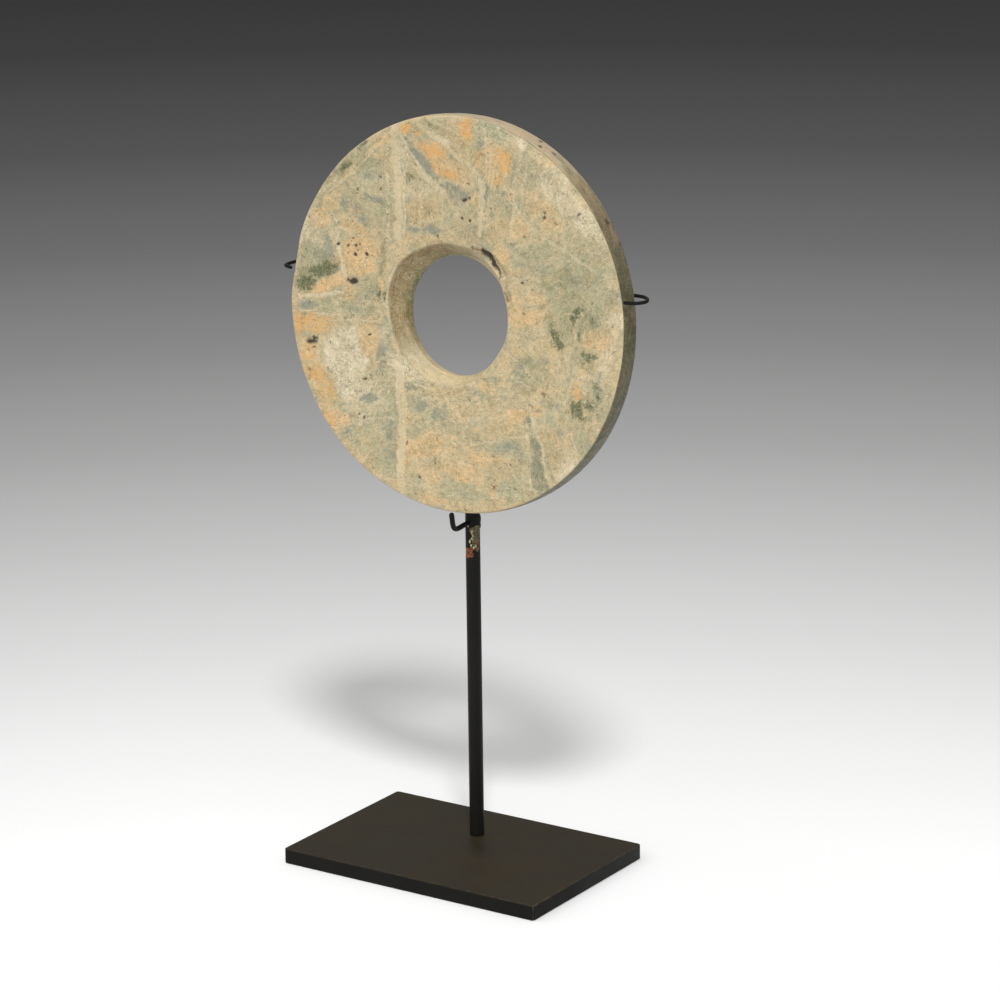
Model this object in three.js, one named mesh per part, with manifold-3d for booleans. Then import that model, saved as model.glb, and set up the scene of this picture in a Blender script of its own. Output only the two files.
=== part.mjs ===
// Stone bi disc held upright by its display stand.
//
// Millimetres, +Z up. The origin is the middle of the base plate's underside. The disc faces -Y, leans
// back on the post, stands on the turned-up tip of one hook and is held at both rims by a wire clip.
import * as THREE from 'three';
import Module from 'manifold-3d';
import { mergeVertices } from 'three/addons/utils/BufferGeometryUtils.js';

// Gap between pieces that touch, and the shallower one inside the braze bead.
const CONTACT_GAP = 0.3;
const BEAD_GAP = 0.1;

// Base plate
const PLATE_LENGTH = 138;
const PLATE_WIDTH = 92;
const PLATE_THICKNESS = 7.1;
const PLATE_CORNER_RADIUS = 1.4;
const PLATE_EDGE_BEVEL = 0.4;

// Post: quarter-inch round bar, set behind the middle of the plate
const POST_DIAMETER = 6.35;
const POST_SIDE_OFFSET = -3;
const POST_BACK_OFFSET = 16.6;
const POST_TOP_CHAMFER = 0.6;
const POST_LAP = 53.8; // how far the post runs up behind the disc

// Disc: a flat ring with softened edges
const DISC_RADIUS = 90;
const DISC_THICKNESS = 12.4;
const DISC_LEAN = THREE.MathUtils.degToRad(3.4);
const DISC_SEAT_HEIGHT = 168.2; // the lowest point of its front face above the table
const DISC_SIDE_OFFSET = -0.4; // its centre beside the post's axis
const RIM_EDGE_ROUND = 1.1;
const RIM_CROWN = 0.35; // how far the rim bulges between its two edges

// Hole: a wide cone from the front, a narrow waist and a shorter cone from the back, a little out of line
const MOUTH_RADIUS = 32;
const MOUTH_ROUND = 0.5;
const WAIST_RADIUS = 27.3;
const WAIST_FRONT_DEPTH = 6.4;
const WAIST_LENGTH = 2.6;
const BACK_MOUTH_RADIUS = 30.3;
const MOUTH_CENTRE = { across: -2.0, up: 0.4 };
const WAIST_CENTRE = { across: -0.2, up: -1.0 };
const BACK_MOUTH_CENTRE = { across: 0.6, up: -0.6 };

// Chips at the mouth: polar place on the front face, and the scoop's half sizes along the edge,
// across it and into the stone
const MOUTH_CHIPS = [
  { angle: 49, radius: 33.6, along: 9, across: 2.8, deep: 1.8 },
  { angle: 21, radius: 31.8, along: 4.5, across: 1.4, deep: 1.2 },
  { angle: 234, radius: 34.6, along: 12, across: 5, deep: 1.1 },
];

// Bottom hook
const HOOK_WIRE_DIAMETER = 2.4;
const HOOK_ROOT_DROP = 9; // root, lowest bend and knee below the disc's seat
const HOOK_BEND_DROP = 9.9;
const HOOK_KNEE_DROP = 6.6;
const HOOK_TIP_DEPTH = 1.4; // tip's centre behind the disc's front face
const HOOK_SWAY = 1; // how far the bend swings to one side of the post, and the tip to the other
const HOOK_TIP_SWAY = 0.4;

// Braze bead round the post at the hook's root
const BEAD_RADIUS = 3.9;
const BEAD_HEIGHT = 6.4;
const BEAD_CHAMFER = 0.35;

// Side arms
const ARM_WIRE_DIAMETER = 1.8;
const ARM_ROOT_RISE = 10; // lower end and bend above the disc's seat
const ARM_BEND_RISE = 27;
// Each clip's height above the disc's centre, how far its hairpin stands out from the rim, and how far
// its tip passes over the rim's edge, or stops short of it where that is negative.
const LEFT_CLIP = { rise: 13.1, reach: 5.4, past: 0.8 };
const RIGHT_CLIP = { rise: 16.2, reach: 9.3, past: -1.2 };

// Fineness of the curved surfaces
const DISC_SEGMENTS = 120;
const POST_SEGMENTS = 32;
const WIRE_SIDES = 8;
const ARM_STEPS = 56;
const HOOK_STEPS = 24;

const STONE = { color: 0xbfb48c, roughness: 0.6, metalness: 0 };
const BLACK_PAINT = { color: 0x2b2723, roughness: 0.45, metalness: 0.2 };
const BRAZE = { color: 0x7a7258, roughness: 0.6, metalness: 0.5 };

const wasm = await Module();
wasm.setup();

function positionsOnly(geometry) {
  const bare = geometry.clone();
  bare.deleteAttribute('normal');
  bare.deleteAttribute('uv');
  return mergeVertices(bare, 1e-4);
}

function toSolid(geometry) {
  const merged = positionsOnly(geometry);
  return new wasm.Manifold(new wasm.Mesh({
    numProp: 3,
    vertProperties: new Float32Array(merged.attributes.position.array),
    triVerts: new Uint32Array(merged.index.array),
  }));
}

function fromSolid(solid) {
  const mesh = solid.getMesh();
  const geometry = new THREE.BufferGeometry();
  geometry.setAttribute('position', new THREE.BufferAttribute(new Float32Array(mesh.vertProperties), 3));
  geometry.setIndex(new THREE.BufferAttribute(new Uint32Array(mesh.triVerts), 1));
  geometry.computeVertexNormals();
  return geometry;
}

function named(name, geometry, finish) {
  const mesh = new THREE.Mesh(geometry, new THREE.MeshStandardMaterial(finish));
  mesh.name = name;
  return mesh;
}

// Places that the pieces share

const postRadius = POST_DIAMETER / 2;
const postTop = DISC_SEAT_HEIGHT + POST_LAP;
const postX = POST_SIDE_OFFSET;
const postY = POST_BACK_OFFSET;

// The disc's own axes: across to the right, in through its thickness, and up its leaning face.
const discUp = new THREE.Vector3(0, Math.sin(DISC_LEAN), Math.cos(DISC_LEAN));
const discIn = new THREE.Vector3(0, Math.cos(DISC_LEAN), -Math.sin(DISC_LEAN));

// The back face bears on the front of the post's top, and the front face's lowest point is at the seat.
const discCentreZ = DISC_SEAT_HEIGHT + DISC_RADIUS * Math.cos(DISC_LEAN);
const leanAtPostTop = (postTop - discCentreZ) * Math.sin(DISC_LEAN);
const discCentre = new THREE.Vector3(
  postX + DISC_SIDE_OFFSET,
  postY - postRadius - CONTACT_GAP - (DISC_THICKNESS + leanAtPostTop) / Math.cos(DISC_LEAN),
  discCentreZ,
);

function onDisc(across, depth, up) {
  return discCentre.clone()
    .addScaledVector(new THREE.Vector3(1, 0, 0), across)
    .addScaledVector(discIn, depth)
    .addScaledVector(discUp, up);
}

// Disc

function quarterRound(centreR, centreDepth, radius, fromAngle, steps) {
  const points = [];
  for (let i = 0; i <= steps; i += 1) {
    const angle = fromAngle + (Math.PI / 2) * (i / steps);
    points.push(new THREE.Vector2(
      centreR + radius * Math.cos(angle),
      centreDepth + radius * Math.sin(angle),
    ));
  }
  return points;
}

// One turn round the ring's section: out along the front face, over the rim, in along the back face
// and out again through the hole.
function ringSection() {
  const e = RIM_EDGE_ROUND;
  const back = DISC_THICKNESS;
  const waistEnd = WAIST_FRONT_DEPTH + WAIST_LENGTH;
  const points = [
    new THREE.Vector2(MOUTH_RADIUS + MOUTH_ROUND, 0),
    ...quarterRound(DISC_RADIUS - RIM_CROWN - e, e, e, -Math.PI / 2, 3),
    new THREE.Vector2(DISC_RADIUS, back / 2),
    ...quarterRound(DISC_RADIUS - RIM_CROWN - e, back - e, e, 0, 3),
    new THREE.Vector2(BACK_MOUTH_RADIUS + MOUTH_ROUND, back),
    new THREE.Vector2(BACK_MOUTH_RADIUS - MOUTH_ROUND, back - MOUTH_ROUND),
    new THREE.Vector2(WAIST_RADIUS, waistEnd),
    new THREE.Vector2(WAIST_RADIUS, WAIST_FRONT_DEPTH),
    new THREE.Vector2(MOUTH_RADIUS - MOUTH_ROUND, MOUTH_ROUND),
  ];
  points.push(points[0].clone());
  return points;
}

// The hole's centre wanders a little from face to face.
function holeCentre(depth) {
  const waist = WAIST_FRONT_DEPTH + WAIST_LENGTH / 2;
  const front = depth < waist;
  const from = front ? MOUTH_CENTRE : WAIST_CENTRE;
  const to = front ? WAIST_CENTRE : BACK_MOUTH_CENTRE;
  const t = front ? depth / waist : (depth - waist) / (DISC_THICKNESS - waist);
  return {
    across: THREE.MathUtils.lerp(from.across, to.across, t),
    up: THREE.MathUtils.lerp(from.up, to.up, t),
  };
}

function chipScoop({ angle, radius, along, across, deep }) {
  const turn = THREE.MathUtils.degToRad(angle);
  const scoop = new THREE.SphereGeometry(1, 14, 9);
  scoop.scale(across, deep, along);
  scoop.rotateY(-turn);
  scoop.translate(radius * Math.cos(turn), 0, radius * Math.sin(turn));
  return scoop;
}

function discGeometry() {
  const ring = new THREE.LatheGeometry(ringSection(), DISC_SEGMENTS);
  const place = ring.attributes.position;
  const boreLimit = MOUTH_RADIUS + 2 * MOUTH_ROUND;
  for (let i = 0; i < place.count; i += 1) {
    if (Math.hypot(place.getX(i), place.getZ(i)) < boreLimit) {
      const centre = holeCentre(place.getY(i));
      place.setX(i, place.getX(i) + centre.across);
      place.setZ(i, place.getZ(i) + centre.up);
    }
  }
  let solid = toSolid(ring);
  for (const chip of MOUTH_CHIPS) {
    solid = solid.subtract(toSolid(chipScoop(chip)));
  }
  return fromSolid(solid);
}

// Wires

function wireAlong(points, diameter, steps) {
  const section = new THREE.Shape();
  for (let i = 0; i < WIRE_SIDES; i += 1) {
    const angle = (2 * Math.PI * i) / WIRE_SIDES;
    const corner = [(diameter / 2) * Math.cos(angle), (diameter / 2) * Math.sin(angle)];
    if (i === 0) section.moveTo(...corner);
    else section.lineTo(...corner);
  }
  section.closePath();
  const path = new THREE.CatmullRomCurve3(points, false, 'centripetal');
  return new THREE.ExtrudeGeometry(section, { steps, extrudePath: path, bevelEnabled: false });
}

// The arm lies along the post's side, fans out behind the disc and ends in a hairpin whose tip comes
// forward to the rim's front edge. side is +1 on the right and -1 on the left.
function armPoints(side, { rise, reach, past }) {
  const wire = ARM_WIRE_DIAMETER / 2;
  const rim = Math.sqrt(DISC_RADIUS ** 2 - rise ** 2);
  const behind = DISC_THICKNESS + wire + CONTACT_GAP;
  const tipDepth = past > 0 ? -(wire + CONTACT_GAP) : -wire / 2;
  const armX = postX + side * (postRadius + wire + CONTACT_GAP);
  const bend = new THREE.Vector3(armX, postY, DISC_SEAT_HEIGHT + ARM_BEND_RISE);
  const atRim = onDisc(side * (rim - 5), behind + 0.2, rise - 0.2);
  const onTheWay = (t) => bend.clone().lerp(atRim, t);
  const beside = (share) => side * (rim + share * reach);
  return [
    new THREE.Vector3(armX, postY, DISC_SEAT_HEIGHT + ARM_ROOT_RISE),
    new THREE.Vector3(armX, postY, DISC_SEAT_HEIGHT + 0.5 * (ARM_ROOT_RISE + ARM_BEND_RISE)),
    new THREE.Vector3(armX, postY, DISC_SEAT_HEIGHT + 0.1 * ARM_ROOT_RISE + 0.9 * ARM_BEND_RISE),
    bend.clone().setX(armX + side * 0.1 * ARM_WIRE_DIAMETER),
    onTheWay(0.05),
    onTheWay(0.35),
    onTheWay(0.7),
    atRim,
    onDisc(beside(0.2), behind - 0.2, rise + 0.7),
    onDisc(beside(0.55), DISC_THICKNESS - 1, rise + 0.8),
    onDisc(beside(0.86), 0.7 * DISC_THICKNESS, rise + 0.6),
    onDisc(beside(1), 0.44 * DISC_THICKNESS, rise + 0.2),
    onDisc(beside(0.93), 0.2 * DISC_THICKNESS, rise),
    onDisc(beside(0.7), 0.05 * DISC_THICKNESS, rise - 0.2),
    onDisc(side * (rim - past), tipDepth, rise - 0.4),
  ];
}

// The hook leaves the post's front, dips under the disc and turns up to end below its front edge.
function hookPoints() {
  const rootY = postY - postRadius - BEAD_GAP;
  const tip = onDisc(0, HOOK_TIP_DEPTH, -DISC_RADIUS);
  const at = (sway, forward, drop) => new THREE.Vector3(
    postX + sway,
    THREE.MathUtils.lerp(rootY, tip.y, forward),
    DISC_SEAT_HEIGHT - drop,
  );
  return [
    at(-0.3 * HOOK_SWAY, 0, HOOK_ROOT_DROP),
    at(-0.4 * HOOK_SWAY, 0.18, HOOK_ROOT_DROP + 0.2),
    at(-0.8 * HOOK_SWAY, 0.38, HOOK_BEND_DROP - 0.2),
    at(-HOOK_SWAY, 0.56, HOOK_BEND_DROP),
    at(-0.9 * HOOK_SWAY, 0.72, HOOK_BEND_DROP - 0.9),
    at(-0.5 * HOOK_SWAY, 0.84, HOOK_KNEE_DROP),
    at(0.4 * HOOK_TIP_SWAY, 0.94, HOOK_KNEE_DROP - 3),
    new THREE.Vector3(postX + HOOK_TIP_SWAY, tip.y, tip.z - 2 * CONTACT_GAP),
  ];
}

// Stand

function plateGeometry() {
  const inset = PLATE_EDGE_BEVEL;
  const halfLength = PLATE_LENGTH / 2 - inset;
  const halfWidth = PLATE_WIDTH / 2 - inset;
  const corner = PLATE_CORNER_RADIUS - inset;
  const outline = new THREE.Shape();
  outline.absarc(halfLength - corner, halfWidth - corner, corner, 0, Math.PI / 2);
  outline.absarc(corner - halfLength, halfWidth - corner, corner, Math.PI / 2, Math.PI);
  outline.absarc(corner - halfLength, corner - halfWidth, corner, Math.PI, 1.5 * Math.PI);
  outline.absarc(halfLength - corner, corner - halfWidth, corner, 1.5 * Math.PI, 2 * Math.PI);
  const plate = new THREE.ExtrudeGeometry(outline, {
    depth: PLATE_THICKNESS - 2 * PLATE_EDGE_BEVEL,
    bevelThickness: PLATE_EDGE_BEVEL,
    bevelSize: PLATE_EDGE_BEVEL,
    bevelSegments: 1,
    curveSegments: 4,
  });
  plate.translate(0, 0, PLATE_EDGE_BEVEL);
  return plate;
}

function turned(profile) {
  const points = profile.map(([radius, height]) => new THREE.Vector2(radius, height));
  const body = new THREE.LatheGeometry(points, POST_SEGMENTS);
  body.rotateX(Math.PI / 2);
  return body;
}

function postGeometry() {
  return turned([
    [0, PLATE_THICKNESS],
    [postRadius, PLATE_THICKNESS],
    [postRadius, postTop - POST_TOP_CHAMFER],
    [postRadius - POST_TOP_CHAMFER, postTop],
    [0, postTop],
  ]);
}

function beadGeometry() {
  const inner = postRadius + BEAD_GAP;
  const low = DISC_SEAT_HEIGHT - HOOK_ROOT_DROP - BEAD_HEIGHT / 2;
  const high = low + BEAD_HEIGHT;
  const ring = turned([
    [inner, low],
    [BEAD_RADIUS - BEAD_CHAMFER, low],
    [BEAD_RADIUS, low + BEAD_CHAMFER],
    [BEAD_RADIUS, high - BEAD_CHAMFER],
    [BEAD_RADIUS - BEAD_CHAMFER, high],
    [inner, high],
    [inner, low],
  ]);
  ring.translate(postX, postY, 0);
  return ring;
}

// The hook's root enters the bead through a clearance hole.
function beadAroundHook() {
  const clearance = HOOK_WIRE_DIAMETER + 2 * BEAD_GAP;
  const passage = wireAlong(hookPoints(), clearance, HOOK_STEPS);
  return fromSolid(toSolid(beadGeometry()).subtract(toSolid(passage)));
}

// The whole object

const object = new THREE.Group();

object.add(named('base_plate', plateGeometry(), BLACK_PAINT));

const post = named('post', postGeometry(), BLACK_PAINT);
post.position.set(postX, postY, 0);
object.add(post);

object.add(named('braze_collar', beadAroundHook(), BRAZE));
object.add(named('bottom_hook', wireAlong(hookPoints(), HOOK_WIRE_DIAMETER, HOOK_STEPS), BLACK_PAINT));

const arms = [['left_arm', -1, LEFT_CLIP], ['right_arm', 1, RIGHT_CLIP]];
for (const [name, side, clip] of arms) {
  object.add(named(name, wireAlong(armPoints(side, clip), ARM_WIRE_DIAMETER, ARM_STEPS), BLACK_PAINT));
}

const leaning = new THREE.Group();
leaning.position.copy(discCentre);
leaning.rotation.x = -DISC_LEAN;
leaning.add(named('disc', discGeometry(), STONE));
object.add(leaning);

object.updateMatrixWorld(true);

export default object;
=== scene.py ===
"""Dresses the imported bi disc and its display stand, and sets the floor, the light and the camera."""
import itertools
import logging
import math
from dataclasses import dataclass
from enum import Enum
from typing import Optional, Sequence, Union

import bpy
import numpy as np
from mathutils import Matrix, Vector


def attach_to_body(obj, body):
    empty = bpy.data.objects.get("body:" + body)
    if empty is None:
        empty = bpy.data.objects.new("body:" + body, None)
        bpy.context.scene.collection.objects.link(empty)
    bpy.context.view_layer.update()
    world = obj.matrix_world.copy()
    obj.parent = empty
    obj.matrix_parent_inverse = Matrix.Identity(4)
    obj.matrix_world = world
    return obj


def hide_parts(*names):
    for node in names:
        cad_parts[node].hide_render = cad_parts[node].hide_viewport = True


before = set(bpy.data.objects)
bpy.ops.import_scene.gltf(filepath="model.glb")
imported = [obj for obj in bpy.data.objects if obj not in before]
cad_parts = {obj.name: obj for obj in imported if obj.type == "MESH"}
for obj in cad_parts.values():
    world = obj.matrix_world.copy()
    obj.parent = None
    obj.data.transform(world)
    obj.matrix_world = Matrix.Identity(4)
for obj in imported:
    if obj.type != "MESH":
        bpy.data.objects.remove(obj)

LOG = logging.getLogger("bi_disc")
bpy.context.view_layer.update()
BODY = "root"
MM = 0.001
SEED = 41

Array = np.ndarray
Piece = bpy.types.Object
Material = bpy.types.Material
Socket = bpy.types.NodeSocket
Colour = tuple[float, float, float, float]
Source = Union[Socket, float, int, Sequence[float], str]


# Colours

def linear(red: float, green: float, blue: float) -> Colour:
    """Turns a display colour into the linear one that shaders use.

    Args:
        red: Display red, from 0 to 255.
        green: Display green, from 0 to 255.
        blue: Display blue, from 0 to 255.

    Returns:
        The linear colour with an alpha of one.
    """
    parts = [value / 255 for value in (red, green, blue)]
    red_l, green_l, blue_l = (p / 12.92 if p <= 0.04045 else ((p + 0.055) / 1.055) ** 2.4 for p in parts)
    return (red_l, green_l, blue_l, 1.0)


class Hue(Enum):
    """A named display colour."""

    @property
    def colour(self) -> Colour:
        """The linear colour with its alpha."""
        return linear(*self.value)

    @property
    def rgb(self) -> Array:
        """The linear colour as an array of three."""
        return np.array(self.colour[:3])


class Stone(Hue):
    """The stone's colours, judged on the lit face; a few darker ones also stand for painted shade."""

    CREAM = (218, 205, 164)
    PALE = (232, 224, 192)
    TAN = (208, 184, 138)
    PEACH = (229, 193, 137)
    ORANGE = (227, 176, 101)
    SAND = (200, 181, 138)
    GREY_GREEN = (170, 172, 138)
    BLUE_GREY = (152, 158, 142)
    SLATE = (124, 132, 112)
    DARK_GREEN = (92, 103, 68)
    OLIVE = (132, 132, 90)
    UMBER = (136, 110, 72)
    GROUND = (206, 188, 145)
    # Painted shade for the hole's upper left wall.
    WALL_SHADE = (120, 104, 58)
    PLUM = (150, 122, 108)
    # Rim colours; the brown and green down the right side are partly stain and partly painted shade.
    RIM_BROWN_AND_SHADE = (132, 118, 86)
    RIM_GREEN_AND_SHADE = (68, 72, 48)
    RIM_BEIGE = (190, 174, 148)
    # Dark brown for painted shadow in the mouth's chip and notch, and for the dark stroke in the hole.
    SHADOW_AND_STROKE = (58, 52, 34)
    PIT = (44, 34, 24)
    VEIN = (218, 206, 168)
    DEEP_GREEN = (56, 68, 42)
    MOSS = (132, 138, 98)
    SPECK = (104, 76, 48)


class Metal(Hue):
    """Colours of the post where its paint is broken, with a painted glint."""

    PAINT = (18, 17, 14)
    THIN_PAINT = (24, 22, 18)
    DULL_BRAZE = (58, 54, 36)
    BRAZE = (132, 124, 92)
    DARK_RUST = (58, 34, 20)
    RUST = (164, 98, 64)
    # Painted highlight: glints of light on bare braze.
    GLINT = (196, 184, 152)


# Noise and soft steps for the parts that are shaped and coloured in mesh code

def soft_step(value: Array, start: float, end: float) -> Array:
    """Rises smoothly from 0 at start to 1 at end, or falls if start is the larger."""
    share = np.clip((value - start) / (end - start), 0.0, 1.0)
    return share * share * (3.0 - 2.0 * share)


class Grain:
    """Seeded gradient noise in three dimensions, so that a pattern runs on over an edge."""

    def __init__(self, seed: int) -> None:
        """Prepares the lattice of one seed.

        Args:
            seed: Any whole number; the same one gives the same noise.
        """
        draw = np.random.default_rng(seed)
        self.order = draw.permutation(256)
        slopes = draw.normal(size=(256, 3))
        self.slopes = slopes / np.linalg.norm(slopes, axis=1, keepdims=True)

    def plain(self, places: Array, size: Union[float, Sequence[float]]) -> Array:
        """Gives one layer of noise.

        Args:
            places: Points in millimetres, one a row.
            size: Size of a feature in millimetres, or one for each axis.

        Returns:
            A value from about -1 to 1 for each point.
        """
        scaled = places / np.asarray(size, float)
        cell = np.floor(scaled).astype(int)
        inside = scaled - cell
        ease = inside**3 * (inside * (inside * 6 - 15) + 10)
        total = np.zeros(len(places))
        for corner in itertools.product((0, 1), repeat=3):
            lattice = cell + corner
            pick = self.order[lattice[:, 0] & 255]
            pick = self.order[(pick + lattice[:, 1]) & 255]
            pick = self.order[(pick + lattice[:, 2]) & 255]
            slope = (self.slopes[pick] * (inside - corner)).sum(axis=1)
            weight = np.where(corner, ease, 1 - ease).prod(axis=1)
            total += weight * slope
        return total * 1.6

    def layered(
        self,
        places: Array,
        size: Union[float, Sequence[float]],
        octaves: int = 4,
        gain: float = 0.55,
    ) -> Array:
        """Adds several layers, each half the size of the last.

        Args:
            places: Points in millimetres, one a row.
            size: Size of the largest features.
            octaves: How many layers.
            gain: Strength of each layer beside the one before.

        Returns:
            A value from about -1 to 1 for each point.
        """
        total = np.zeros(len(places))
        strength = 1.0
        reach = 0.0
        for octave in range(octaves):
            total += strength * self.plain(places + 37.7 * octave, np.asarray(size, float) / 2**octave)
            reach += strength
            strength *= gain
        return total / reach * 1.35


# Node trees

class Graph:
    """Adds nodes to one tree and links them."""

    def __init__(self, tree: bpy.types.NodeTree) -> None:
        """Takes hold of a tree."""
        self.tree = tree

    def feed(self, node: bpy.types.Node, key: Union[int, str], source: Source) -> None:
        """Links a socket into an input, or sets the input's value.

        Args:
            node: The node to feed.
            key: Name or index of its input.
            source: A socket to link, or a value.
        """
        if isinstance(source, Socket):
            self.tree.links.new(source, node.inputs[key])
        else:
            node.inputs[key].default_value = source

    def add(self, kind: str, inputs: Optional[dict] = None, **settings: object) -> bpy.types.Node:
        """Adds one node.

        Args:
            kind: Blender's name for the type of node.
            inputs: Sources by input name or index.
            **settings: The node's own settings.

        Returns:
            The new node.
        """
        node = self.tree.nodes.new(kind)
        for name, value in settings.items():
            setattr(node, name, value)
        for key, source in (inputs or {}).items():
            self.feed(node, key, source)
        return node

    def math(self, operation: str, first: Source, second: Source = 0.0, clamp: bool = False) -> Socket:
        """Works out one sum on numbers or fields."""
        node = self.add("ShaderNodeMath", {0: first, 1: second}, operation=operation, use_clamp=clamp)
        return node.outputs[0]


class Shader(Graph):
    """Builds one procedural material on Object coordinates and attributes."""

    def __init__(self, name: str) -> None:
        """Starts a material.

        Args:
            name: The material's name.
        """
        self.material = bpy.data.materials.new(name)
        self.material.use_nodes = True
        super().__init__(self.material.node_tree)
        self.surface = self.tree.nodes["Principled BSDF"]
        coordinates = self.add("ShaderNodeTexCoord")
        scaled = self.add(
            "ShaderNodeMapping",
            {"Vector": coordinates.outputs["Object"], "Scale": (1 / MM, 1 / MM, 1 / MM)},
        )
        self.place = scaled.outputs["Vector"]

    def step(self, value: Source, start: float, end: float, low: float = 0.0, high: float = 1.0) -> Socket:
        """Maps a range smoothly on another.

        Args:
            value: The number to map.
            start: Lower end of its range, or upper where the step falls.
            end: Other end of its range.
            low: Result at start.
            high: Result at end.

        Returns:
            The socket of the result.
        """
        node = self.add(
            "ShaderNodeMapRange",
            {"Value": value, "From Min": start, "From Max": end, "To Min": low, "To Max": high},
            interpolation_type="SMOOTHSTEP",
        )
        return node.outputs["Result"]

    def noise(
        self,
        size: Union[float, Sequence[float]],
        detail: float = 3.0,
        roughness: float = 0.55,
        distortion: float = 0.0,
        turn: Sequence[float] = (0.0, 0.0, 0.0),
        shift: float = 0.0,
        vector: Optional[Socket] = None,
    ) -> Socket:
        """Adds a noise whose features have a size in millimetres.

        Args:
            size: Size of a feature, or one for each axis.
            detail: Number of finer layers.
            roughness: Strength of the finer layers.
            distortion: How far the pattern is stirred.
            turn: Turn of the pattern in radians.
            shift: Moves the pattern, so that two of them differ.
            vector: Place in millimetres to use in the object's stead.

        Returns:
            The socket of the noise, from 0 to 1.
        """
        sizes = (size, size, size) if isinstance(size, (int, float)) else size
        place = self.place if vector is None else vector
        turned = self.add(
            "ShaderNodeMapping",
            {"Vector": place, "Rotation": turn, "Location": (shift, 2 * shift, 3 * shift)},
        )
        scaled = self.add(
            "ShaderNodeMapping",
            {"Vector": turned.outputs[0], "Scale": tuple(1 / s for s in sizes)},
        )
        node = self.add(
            "ShaderNodeTexNoise",
            {
                "Vector": scaled.outputs[0],
                "Scale": 1.0,
                "Detail": detail,
                "Roughness": roughness,
                "Distortion": distortion,
            },
        )
        return node.outputs["Fac"]

    def mix(self, share: Source, first: Source, second: Source, blend: str = "MIX") -> Socket:
        """Mixes a share of a second colour into a first one, in the way that Blender's name gives."""
        node = self.add("ShaderNodeMix", {0: share, 6: first, 7: second}, data_type="RGBA", blend_type=blend)
        return node.outputs[2]

    def attribute(self, name: str) -> bpy.types.Node:
        """Reads a mesh attribute by its name."""
        return self.add("ShaderNodeAttribute", attribute_name=name)

    def scale_colour(self, colour: Source, factor: Socket) -> Socket:
        """Multiplies a colour by a number about one, for light and dark grain."""
        node = self.add("ShaderNodeVectorMath", {0: colour, "Scale": factor}, operation="SCALE")
        return node.outputs[0]

    def bump(self, height: Socket, depth: float, under: Optional[Socket] = None) -> Socket:
        """Adds relief.

        Args:
            height: Relief from 0 to 1.
            depth: Depth in millimetres of that whole range.
            under: Normal of a coarser relief that this one lies on.

        Returns:
            The socket of the new normal.
        """
        inputs: dict = {"Height": height, "Strength": 1.0, "Distance": depth * MM}
        if under is not None:
            inputs["Normal"] = under
        return self.add("ShaderNodeBump", inputs).outputs["Normal"]

    def set(self, **sockets: Source) -> None:
        """Feeds the surface shader.

        Args:
            **sockets: Sources by input name, with _ for a space.
        """
        names = {socket.name.replace(" ", "_").lower(): socket.name for socket in self.surface.inputs}
        for key, source in sockets.items():
            self.feed(self.surface, names[key], source)


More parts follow.
